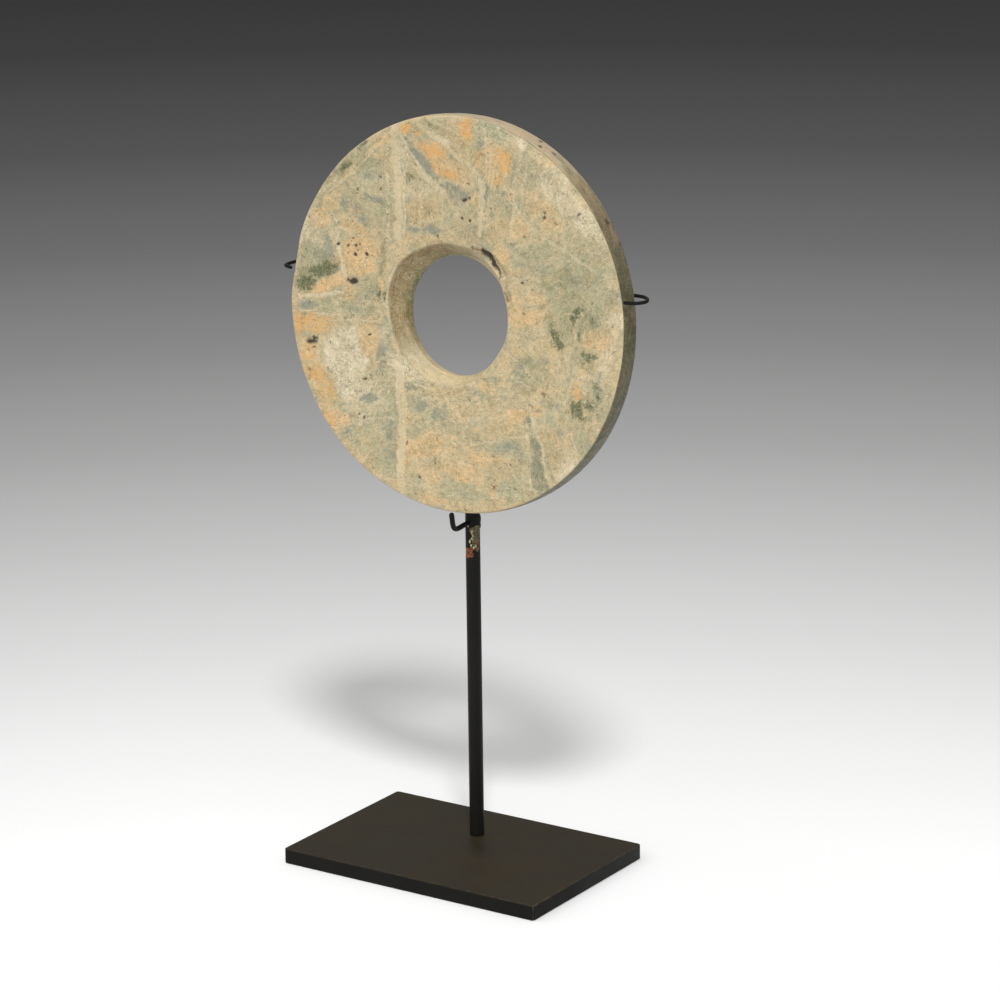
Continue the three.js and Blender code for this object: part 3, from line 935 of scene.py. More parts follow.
CHIPS: tuple[Chip, ...] = rows(
    Chip,
    (49, 33.6, 9, 2.8, 1.8), (21, 31.8, 4.5, 1.4, 1.2), (234, 34.6, 12, 5, 1.1),
)


def swing(angle: Array, middle: float) -> Array:
    """Gives how many degrees each angle lies from a middle, either way round."""
    return np.abs((angle - middle + 180.0) % 360.0 - 180.0)


@dataclass
class Surface:
    """Where each vertex of the disc lies before it is worn: millimetres in the disc's own directions."""

    across: Array
    up: Array
    depth: Array

    def __post_init__(self) -> None:
        """Works out the polar place and the side that each vertex belongs to."""
        thick = LAYOUT.disc_thickness
        self.radius = np.hypot(self.across, self.up)
        self.angle = np.degrees(np.arctan2(self.up, self.across))
        self.arc = np.radians(self.angle) * self.radius
        self.points = np.stack((self.across, self.up, 2.2 * self.depth), axis=1)
        self.front = soft_step(self.depth, 1.2, 0.15)
        self.back = soft_step(self.depth, thick - 0.9, thick - 0.1)
        self.rim = soft_step(self.radius, 88.5, 89.6)
        self.bore = soft_step(self.radius, 32.4, 31.7) * (1 - self.back)

    def sector(self, middle: float, wide: float, narrow: float) -> Array:
        """Gives 1 up to narrow degrees from a middle angle, falling to 0 at wide degrees."""
        return soft_step(swing(self.angle, middle), wide, narrow)


def ellipse(across: Array, up: Array, mark: Union[Stain, Lines]) -> Array:
    """Gives the distance from a mark's middle, as a share of its reach.

    Args:
        across: Places to the right.
        up: Places up.
        mark: The mark with its half sizes and turn.

    Returns:
        0 at its middle and 1 on its outline.
    """
    turn = math.radians(mark.turn)
    x = across - mark.across
    y = up - mark.up
    along = (x * math.cos(turn) + y * math.sin(turn)) / mark.long
    beside = (y * math.cos(turn) - x * math.sin(turn)) / mark.wide
    return np.hypot(along, beside)


@dataclass
class StonePainter:
    """Colours the disc: a mottled ground, stains, veins and fine lines, and a rim darker down its right side,
    partly stain and partly painted shade.
    """

    seed: int
    waist_depth: float = 7.6
    # Radii of the painted highlight on the mouth's left edge and of the painted shadow inside the mouth.
    highlight_radius: float = 32.2
    shadow_radius: float = 31.0
    # The dark stroke in the hole: angle, radius and depth, and its half length and half height
    stroke_place: tuple[float, float, float] = (163.0, 28.0, 6.4)
    stroke_half: tuple[float, float] = (1.6, 1.2)

    def __post_init__(self) -> None:
        """Seeds its noises."""
        self.grain = [Grain(self.seed + n) for n in range(8)]

    @staticmethod
    def lay(under: Array, hue: Stone, share: Array) -> Array:
        """Lays a share of one colour over the colours so far."""
        part = np.clip(share, 0.0, 1.0)[:, None]
        return under * (1 - part) + hue.rgb * part

    def ground(self, points: Array) -> Array:
        """Mixes the stone's ground, the same on every side.

        Args:
            points: Places in millimetres.

        Returns:
            A colour for each.
        """
        one, two, three, four, five = self.grain[:5]
        stir = np.stack([g.layered(points, 15.0, 3) for g in (one, two, three)], axis=1)
        stirred = points + 9.0 * stir
        base = np.tile(Stone.GROUND.rgb, (len(points), 1))
        base = self.lay(base, Stone.CREAM, 0.3 + 0.5 * four.layered(stirred, 20.0))
        green = five.layered(stirred, (15.0, 13.0, 15.0), 5)
        base = self.lay(base, Stone.GREY_GREEN, 0.85 * soft_step(green, -0.05, 0.45))
        base = self.lay(base, Stone.PEACH, 0.55 * soft_step(two.layered(stirred, 17.0, 5), 0.1, 0.5))
        base = self.lay(base, Stone.BLUE_GREY, 0.6 * soft_step(one.layered(stirred + 90, 9.0, 4), 0.2, 0.5))
        base = self.lay(base, Stone.OLIVE, 0.35 * soft_step(three.layered(stirred + 50, 6.0, 4), 0.22, 0.55))
        return base

    def scatter(self, points: Array) -> Array:
        """Scatters crisp marks that follow no drawing, for the sides that the photograph doesn't show.

        Args:
            points: Places in millimetres.

        Returns:
            Shares of dark green, orange, pale vein and blue-grey for each place.
        """
        one, two, three, four = (self.grain[n] for n in (5, 6, 7, 3))
        green = 0.9 * soft_step(one.layered(points, 13.0, 4), 0.34, 0.75)
        orange = 0.8 * soft_step(two.layered(points + 30, 15.0, 4), 0.2, 0.6)
        line = np.abs(three.layered(points, (22.0, 9.0, 22.0), 3))
        blue = 0.8 * soft_step(four.layered(points + 60, 12.0, 4), 0.12, 0.5)
        return np.stack((green, orange, 0.75 * soft_step(line, 0.05, 0.0), blue), axis=1)

    def face(self, points: Array) -> tuple[Array, Array, Array]:
        """Colours the shown face over the ground.

        Args:
            points: Places in millimetres, with the disc's own across and up first.

        Returns:
            A colour for each, the shares of its crisp marks and where it carries painted shadow.
        """
        one, two, three, four, five, six, seven, eight = self.grain
        colour = self.ground(points)
        marks = 0.3 * self.scatter(points)
        ragged = six.layered(points, 4.2, 4, 0.7)
        speckle = seven.layered(points, 1.7, 3, 0.75)
        across = points[:, 0] + 1.6 * one.layered(points, 9.0, 3) + 0.9 * five.layered(points, 3.0, 3)
        up = points[:, 1] + 1.6 * two.layered(points, 9.0, 3) + 0.9 * four.layered(points, 3.0, 3)
        for hue, stains in STAINS.items():
            crisp = CRISP.get(hue)
            for stain in stains:
                reach = ellipse(across, up, stain) - 0.25 * ragged - 0.12 * speckle
                if crisp is None:
                    share = 1.25 * stain.strength * soft_step(reach, 1.08, 0.8)
                    colour = self.lay(colour, hue, share * (1 - 0.35 * soft_step(speckle, 0.05, -0.5)))
                else:
                    colour = self.lay(colour, hue, 0.55 * stain.strength * soft_step(reach, 1.3, 0.6))
                    share = stain.strength * soft_step(reach, 1.45, 0.35)
                    marks[:, crisp] = np.maximum(marks[:, crisp], share)
        patchy = 0.55 + 0.45 * soft_step(eight.layered(points, 6.0, 3), -0.4, 0.3)
        painted_shadow = np.zeros(len(points))
        for vein in VEINS:
            nearest = self.beside(across, up, vein)
            inside = vein.strength * patchy * soft_step(nearest, vein.width * 0.8, vein.width * 0.35)
            # The darkest veins are painted shadow, laid last and kept plain.
            if vein.hue is Stone.SHADOW_AND_STROKE:
                edge = soft_step(nearest, vein.width * 0.9, vein.width * 0.35)
                painted_shadow = np.maximum(painted_shadow, vein.strength * edge)
                continue
            border = soft_step(np.abs(nearest - vein.width * 0.95), 0.55, 0.1) * patchy * vein.strength
            colour = self.lay(colour, Stone.SLATE, 0.42 * border)
            colour = self.lay(colour, vein.hue, 0.85 * inside)
            marks *= (1 - 0.5 * inside)[:, None]
            marks[:, 2] = np.maximum(marks[:, 2], 0.95 * inside)
        for number, field in enumerate(LINE_FIELDS):
            colour = self.lay(colour, field.hue, self.hatch(points, across, up, field, number))
        return self.lay(colour, Stone.SHADOW_AND_STROKE, painted_shadow), marks, painted_shadow

    @staticmethod
    def beside(across: Array, up: Array, vein: Vein) -> Array:
        """Gives the distance from a vein's middle line.

        Args:
            across: Places to the right.
            up: Places up.
            vein: The vein.

        Returns:
            The distance in millimetres.
        """
        nearest = np.full(len(across), 1e3)
        for (x0, y0), (x1, y1) in zip(vein.line, vein.line[1:]):
            dx, dy = x1 - x0, y1 - y0
            share = np.clip(((across - x0) * dx + (up - y0) * dy) / (dx * dx + dy * dy), 0.0, 1.0)
            nearest = np.minimum(nearest, np.hypot(across - x0 - share * dx, up - y0 - share * dy))
        return nearest

    def weave(self, surface: Surface) -> tuple[Array, Array]:
        """Lays out the streaks: each part of a face has its own direction, rim and hole have them round.

        Args:
            surface: The disc's places.

        Returns:
            Place along the streaks, place across them and their strength, for each vertex, and the share
            of the pale seams between the parts.
        """
        flip = np.where(surface.depth > LAYOUT.disc_thickness / 2, -1.0, 1.0)
        across = flip * surface.across + 2.5 * self.grain[1].layered(surface.points, 9.0, 4)
        up = surface.up + 2.5 * self.grain[2].layered(surface.points, 9.0, 4)
        nearest = np.full(len(up), 1e3)
        second = np.full(len(up), 1e3)
        laid = np.zeros((len(up), 3))
        for number, field in enumerate(LINE_FIELDS):
            turn = math.radians(field.turn)
            x = flip * surface.across - field.across
            y = surface.up - field.up
            reach = ellipse(across, up, field)
            along = x * math.cos(turn) + y * math.sin(turn) + 70.0 * number
            strength = np.full(len(up), 0.5 + field.strength)
            here = np.stack((along, y * math.cos(turn) - x * math.sin(turn), strength), axis=1)
            closer = reach < nearest
            second = np.minimum(np.where(closer, nearest, reach), second)
            laid[closer] = here[closer]
            nearest = np.minimum(nearest, reach)
        laid[:, 1] += 0.8 * self.grain[3].layered(surface.points, 14.0, 3)
        laid[:, 2] *= soft_step(second - nearest, 0.0, 0.18)
        flat = np.maximum(surface.front * (1 - surface.bore), surface.back)
        round_it = np.stack((surface.arc, surface.depth, np.full(len(up), 0.9)), axis=1)
        woven = np.where((flat > 0.5)[:, None], laid, round_it)
        woven[:, 2] *= np.abs(2 * flat - 1)
        return woven, soft_step(second - nearest, 0.07, 0.0) * flat

    def hatch(self, points: Array, across: Array, up: Array, field: Lines, number: int) -> Array:
        """Gives the share of a field of fine lines at each place.

        Args:
            points: Unstirred places.
            across: Stirred places to the right.
            up: Stirred places up.
            field: The field.
            number: Its number, which picks its noise.

        Returns:
            The share of the field's colour.
        """
        turn = math.radians(field.turn)
        along = points[:, 0] * math.cos(turn) + points[:, 1] * math.sin(turn)
        beside = points[:, 1] * math.cos(turn) - points[:, 0] * math.sin(turn)
        bow = beside + 0.5 * self.grain[0].layered(points, 12.0, 2)
        bent = np.stack((along, bow, 40.0 * number + points[:, 2]), axis=1)
        sizes = (9 * field.spacing, 1.1 * field.spacing, 30.0)
        lines = 1 - np.abs(self.grain[number % 8].layered(bent, sizes, 3, 0.6)) * 2.6
        return field.strength * soft_step(lines, 0.15, 0.95) * soft_step(ellipse(across, up, field), 1.1, 0.6)

    def rim_colour(self, surface: Surface) -> Array:
        """Colours the rim: beige at the top, brown and dark green down the right, streaked along its length;
        the dark right side is partly stain and partly painted shade.

        Args:
            surface: The disc's places.

        Returns:
            A colour for each.
        """
        ribbon = np.stack((0.16 * surface.arc, surface.depth, 0 * surface.arc), axis=1)
        streaks = self.grain[3].layered(ribbon, (3.2, 1.5, 9.0), 4, 0.65)
        clouds = self.grain[4].layered(surface.points, 9.0, 4)
        colour = self.ground(surface.points)
        # Darker down the right side, which faces away from the key light: partly stain, partly painted shade.
        dark = surface.sector(-24.0, 96.0, 40.0)
        colour = self.lay(colour, Stone.RIM_BEIGE, 0.6 * surface.sector(84.0, 70.0, 20.0))
        colour = self.lay(colour, Stone.RIM_BROWN_AND_SHADE, 0.95 * soft_step(dark + 0.25 * clouds, 0.12, 0.6))
        green = surface.sector(-28.0, 72.0, 28.0)
        green_share = soft_step(green + 0.5 * clouds + 0.3 * streaks, 0.0, 0.6)
        colour = self.lay(colour, Stone.RIM_GREEN_AND_SHADE, 0.95 * green_share)
        umber_share = 0.35 * soft_step(streaks, 0.1, 0.5) * soft_step(dark, 0.1, 0.5)
        colour = self.lay(colour, Stone.UMBER, umber_share)
        below = surface.sector(-48.0, 42.0, 18.0)
        colour = self.lay(colour, Stone.RIM_GREEN_AND_SHADE, 0.45 * below)
        return self.lay(colour, Stone.PIT, 0.5 * soft_step(streaks - 0.3 * clouds, 0.15, 0.6) * dark)

    def bore_colour(self, surface: Surface) -> Array:
        """Colours the drilled hole: brownish painted shade up its left wall and dark green painted shade at
        its waist, painted light at the bottom, with drill lines round it.

        Args:
            surface: The disc's places.

        Returns:
            A colour for each.
        """
        ribbon = np.stack((surface.across * 0.3, surface.up * 0.3, 3.0 * surface.depth), axis=1)
        rings = self.grain[5].layered(ribbon, (8.0, 8.0, 1.6), 3, 0.6)
        clouds = self.grain[6].layered(surface.points, 7.0, 4)
        colour = self.lay(self.ground(surface.points), Stone.SAND, np.full(len(rings), 0.4))
        # Painted shade on the upper left wall, which faces away from the key light, and painted light on the
        # lower wall.
        shaded = surface.sector(150.0, 105.0, 50.0)
        brown_shade = surface.sector(132.0, 60.0, 20.0)
        painted_light = surface.sector(-105.0, 70.0, 30.0)
        colour = self.lay(colour, Stone.WALL_SHADE, shaded * (0.9 + 0.2 * clouds + 0.15 * rings))
        colour = self.lay(colour, Stone.UMBER, 0.6 * brown_shade * soft_step(clouds + 0.4 * rings, -0.5, 0.4))
        colour = self.lay(colour, Stone.CREAM, 0.35 * painted_light)
        colour = self.lay(colour, Stone.OLIVE, 0.5 * soft_step(rings, 0.1, 0.5) * (1 - 0.6 * painted_light))
        # Painted shade in the hole's narrow waist, in dark green.
        waist = soft_step(np.abs(surface.depth - self.waist_depth), 2.2, 1.2)
        return self.lay(colour, Stone.DARK_GREEN, 0.75 * waist * (1 - 0.9 * painted_light))

    def mouth_marks(self, surface: Surface, colour: Array) -> Array:
        """Draws the painted highlight on the mouth's left edge, the painted shadow inside it and the dark
        stroke on the hole's wall.

        Args:
            surface: The disc's places.
            colour: Colour so far.

        Returns:
            The colour with the marks.
        """
        # Painted highlight: a pale line where the key light catches the mouth's left edge.
        edge_highlight = soft_step(np.abs(surface.radius - self.highlight_radius), 0.9, 0.4)
        edge_highlight *= soft_step(surface.depth, 0.6, 0.2)
        colour = self.lay(colour, Stone.PALE, 0.5 * edge_highlight * surface.sector(170.0, 32.0, 18.0))
        # Painted shadow just inside the mouth's upper left edge.
        shadow = soft_step(np.abs(surface.radius - self.shadow_radius), 1.1, 0.5)
        shadow *= soft_step(surface.depth, 3.0, 1.0)
        colour = self.lay(colour, Stone.UMBER, 0.75 * shadow * surface.sector(126.0, 36.0, 18.0))
        angle, radius, depth = self.stroke_place
        along, high = self.stroke_half
        beside = np.radians(swing(surface.angle, angle)) * radius / along
        stroke = np.hypot(beside, (surface.depth - depth) / high)
        return self.lay(colour, Stone.SHADOW_AND_STROKE, 0.7 * surface.bore * soft_step(stroke, 1.2, 0.5))

    def paint(self, surface: Surface) -> tuple[Array, Array, Array]:
        """Colours the whole disc.

        Args:
            surface: The disc's places.

        Returns:
            A soft colour with its share of detail, the shares of the crisp marks, and the streaks' layout.
        """
        colour = self.ground(surface.points)
        marks = self.scatter(surface.points)
        face_colour, face_marks, painted_shadow = self.face(surface.points)
        worn = surface.sector(38.0, 62.0, 25.0) * soft_step(surface.radius, 84.0, 89.0)
        rim = np.maximum(surface.rim, 0.75 * worn * (1 - surface.back))
        calm = 0.35 * marks
        for share, part, part_marks in (
            (surface.bore, self.bore_colour(surface), calm),
            (rim, self.rim_colour(surface), calm),
            (surface.front * (1 - 0.6 * surface.bore), face_colour, face_marks),
        ):
            colour = colour * (1 - share[:, None]) + part * share[:, None]
            marks = marks * (1 - share[:, None]) + part_marks * share[:, None]
        # No fine detail over the painted shadow, and less on the rim and in the hole.
        detail = (1 - painted_shadow * surface.front) * (1 - 0.6 * surface.rim) * (1 - 0.35 * surface.bore)
        colour = self.mouth_marks(surface, colour)
        for pit in RIM_PITS:
            beside = np.radians(swing(surface.angle, pit.angle)) * surface.radius
            away = np.hypot(beside, surface.depth - pit.depth)
            share = soft_step(away, 1.4 * pit.radius, 0.8 * pit.radius)
            colour = self.lay(colour, Stone.PIT, surface.rim * share)
        woven, seam = self.weave(surface)
        seam *= soft_step(self.grain[7].layered(surface.points, 11.0, 3), -0.35, 0.15)
        colour = self.lay(colour, Stone.VEIN, 0.4 * seam * detail)
        marks[:, 2] = np.maximum(marks[:, 2], 0.75 * seam)
        return np.column_stack((colour, detail)), marks, woven


@dataclass
class StoneShaper:
    """Wears the plain ring: drilled hole out of line, chips, pits and rubbed edges."""

    seed: int
    mouth: tuple[float, float] = (-2.0, 0.4)
    waist: tuple[float, float] = (-0.2, -1.0)
    back_mouth: tuple[float, float] = (0.6, -0.6)
    waist_depth: float = 7.7
    # Angle, half width and reach outwards of each place where the mouth isn't round
    bulges: tuple[tuple[float, float, float], ...] = (
        (52.0, 34.0, 0.9), (-42.0, 34.0, -1.0), (157.0, 44.0, 2.2), (222.0, 50.0, 1.2), (275.0, 40.0, 1.0),
    )
    # The rim's swelling at its lower right: middle angle and height
    swell_angle: float = -52.0
    swell_height: float = 0.6
    # Places where the front edge is rubbed: on the left rim, round the upper right and at the mouth
    rubbed_left: float = 170.0
    rubbed_right: float = 38.0
    rubbed_mouth: float = 225.0
    chip_floor: float = 4.0

    def __post_init__(self) -> None:
        """Seeds its noises."""
        self.grain = [Grain(self.seed + n) for n in range(5)]

    def drift(self, surface: Surface) -> tuple[Array, Array]:
        """Gives how far the hole's middle lies out of line at each vertex.

        Args:
            surface: The disc's places.

        Returns:
            The shift across and the shift up.
        """
        stops = (0.0, self.waist_depth, LAYOUT.disc_thickness)
        fade = soft_step(surface.radius, 60.0, 33.0)
        centres = (self.mouth, self.waist, self.back_mouth)
        across = np.interp(surface.depth, stops, [c[0] for c in centres])
        up = np.interp(surface.depth, stops, [c[1] for c in centres])
        return across * fade, up * fade

    def pitted(self, across: Array, up: Array) -> tuple[Array, Array]:
        """Gives the depth of the pits and how dark they are.

        Args:
            across: Places to the right on the shown face.
            up: Places up.

        Returns:
            Depth in millimetres, and darkness from 0 to 1.
        """
        wobble = 0.3 * self.grain[0].plain(np.stack((across, up, 0 * up), axis=1), 1.6)
        depth = np.zeros(len(across))
        dark = np.zeros(len(across))
        for pit in PITS:
            mark = Stain(pit.across, pit.up, pit.radius * pit.long, pit.radius, 1.0, pit.turn)
            reach = ellipse(across, up, mark) + wobble
            depth = np.maximum(depth, 0.55 * pit.radius * soft_step(reach, 1.5, 0.4))
            dark = np.maximum(dark, soft_step(reach, 1.35, 0.75))
        return depth, dark

    def wear(self, surface: Surface) -> tuple[Array, Array, Array, Array]:
        """Moves the vertices to where the worn stone has them.

        Args:
            surface: The plain ring's places.

        Returns:
            The new places across, in depth and up, and how dark the pits are.
        """
        shift_across, shift_up = self.drift(surface)
        across = surface.across + shift_across
        up = surface.up + shift_up
        depth = surface.depth.copy()
        turn = np.stack((surface.across, surface.up, 0 * surface.up), axis=1)
        outward = turn[:, :2] / surface.radius[:, None]

        # The mouth isn't quite round
        mouth = soft_step(surface.radius, 44.0, 33.0) * soft_step(surface.depth, 6.0, 0.5)
        bulge = np.zeros(len(mouth))
        for middle, half_width, out in self.bulges:
            bulge += out * surface.sector(middle, half_width, 0.2 * half_width)
        drilled = soft_step(surface.radius, 34.0, 32.0)
        ridges = 0.12 * self.grain[1].layered(surface.points, (30.0, 30.0, 1.7), 2) * drilled
        radial = bulge * mouth + ridges

        # The rim is rubbed, most of all at its left front
        outer = soft_step(surface.radius, 82.0, 89.0)
        rubbed = 0.06 + 0.14 * self.grain[2].layered(turn, 18.0, 3)
        rubbed = rubbed + 0.9 * surface.sector(self.rubbed_left, 10.0, 2.0)
        radial -= np.clip(rubbed, 0.0, None) * outer
        radial += self.swell_height * outer * surface.sector(self.swell_angle, 55.0, 15.0)
        across += outward[:, 0] * radial
        up += outward[:, 1] * radial

        # Rounded front edge and a face that isn't quite flat
        edge = soft_step(surface.radius, 84.5, 89.5) * surface.front
        rounded = surface.sector(self.rubbed_right, 62.0, 25.0)
        depth += edge * np.clip(0.12 + 1.1 * rounded + 0.25 * self.grain[3].layered(turn, 9.0, 3), 0.0, None)
        soft_side = surface.sector(self.rubbed_mouth, 60.0, 25.0) * soft_step(surface.radius, 38.0, 32.5)
        depth += 0.7 * soft_side * surface.front
        depth += 0.12 * surface.front * (1 + self.grain[4].layered(turn, 22.0, 4))
        depth -= 0.12 * surface.back * (1 + self.grain[4].layered(turn + 60, 20.0, 4))
        pits, dark = self.pitted(across, up)
        depth += pits * surface.front

        # Chips at the mouth
        rough = 0.16 * self.grain[0].layered(surface.points, 1.8, 2)
        for chip in CHIPS:
            angle = math.radians(chip.angle)
            x = across * math.cos(angle) + up * math.sin(angle) - chip.radius
            y = up * math.cos(angle) - across * math.sin(angle)
            reach = (x / chip.across) ** 2 + (y / chip.along) ** 2
            floor = chip.deep * np.sqrt(np.clip(1 - reach, 0.0, None)) * (1 + rough)
            depth = np.where(surface.depth < self.chip_floor, np.maximum(depth, floor), depth)
        return across, depth, up, dark * surface.front


@dataclass
class BiDisc:
    """The stone ring."""

    turns: int = 620
    face_rings: int = 86
    back_rings: int = 22
    edge_round: float = 1.1
    crown: float = 0.35
    mouth_radius: float = 32.0
    mouth_round: float = 0.5
    waist_radius: float = 27.3
    waist_depth: float = 6.4
    waist_length: float = 2.6
    back_mouth_radius: float = 30.3
    path_radius: float = 60.0

    def section(self) -> list[tuple[float, float]]:
        """Draws the ring's section: over the face, the rim and the back, and out through the hole.

        Returns:
            Points of radius and depth, in millimetres.
        """
        thick = LAYOUT.disc_thickness
        reach = LAYOUT.disc_radius - self.crown - self.edge_round
        points: list[tuple[float, float]] = []

        def run(start: tuple[float, float], end: tuple[float, float], steps: int) -> None:
            """Adds a straight run without its last point."""
            for share in np.linspace(0.0, 1.0, steps, endpoint=False):
                points.append(tuple(a + share * (b - a) for a, b in zip(start, end)))

        run((self.mouth_radius + self.mouth_round, 0.0), (reach, 0.0), self.face_rings)
        for share in np.linspace(0.0, 1.0, 6):
            turn = math.pi / 2 * share
            points.append((reach + self.edge_round * math.sin(turn), self.edge_round * (1 - math.cos(turn))))
        for share in np.linspace(0.0, 1.0, 14)[1:-1]:
            depth = self.edge_round + share * (thick - 2 * self.edge_round)
            bow = 1 - (2 * share - 1) ** 2
            points.append((LAYOUT.disc_radius - self.crown * (1 - bow), depth))
        for share in np.linspace(0.0, 1.0, 6):
            turn = math.pi / 2 * share
            depth = thick - self.edge_round * (1 - math.sin(turn))
            points.append((reach + self.edge_round * math.cos(turn), depth))
        run((reach - 0.8, thick), (self.back_mouth_radius + self.mouth_round, thick), self.back_rings)
        back = (self.back_mouth_radius - self.mouth_round, thick - self.mouth_round)
        waist_end = (self.waist_radius, self.waist_depth + self.waist_length)
        waist_start = (self.waist_radius, self.waist_depth)
        front = (self.mouth_radius - self.mouth_round, self.mouth_round)
        points.append((self.back_mouth_radius + self.mouth_round, thick))
        run(back, waist_end, 7)
        run(waist_end, waist_start, 5)
        run(waist_start, front, 14)
        points.append(front)
        points.append((self.mouth_radius - 0.15, 0.15))
        return points

    def build(self, material: Material) -> Piece:
        """Makes, wears, colours and places the disc.

        Args:
            material: The stone's finish.

        Returns:
            The finished piece.
        """
        profile = [(radius - self.path_radius, depth) for radius, depth in self.section()]
        source = line_object("ring_section", profile, closed=True)
        sizes = {"Turns": self.turns, "Path radius": self.path_radius * MM}
        piece = turned_recipe("turned_ring", material).run(source, "stone_disc", sizes)
        plain = places_of(piece)
        surface = Surface(across=plain[:, 0], up=plain[:, 1], depth=-plain[:, 2])
        across, depth, up, dark = StoneShaper(SEED).wear(surface)
        tint, marks, weave = StonePainter(SEED + 20).paint(surface)
        tint[:, :3] = StonePainter.lay(tint[:, :3], Stone.PIT, 0.95 * dark)
        tint[:, 3] *= 1 - dark
        put_places(piece, LAYOUT.on_disc(across, depth, up))
        put_tint(piece, "tint", tint)
        put_tint(piece, "marks", marks)
        layer = piece.data.attributes.new("weave", "FLOAT_VECTOR", "POINT")
        layer.data.foreach_set("vector", weave.ravel())
        return attach(piece, "jade", "disc")


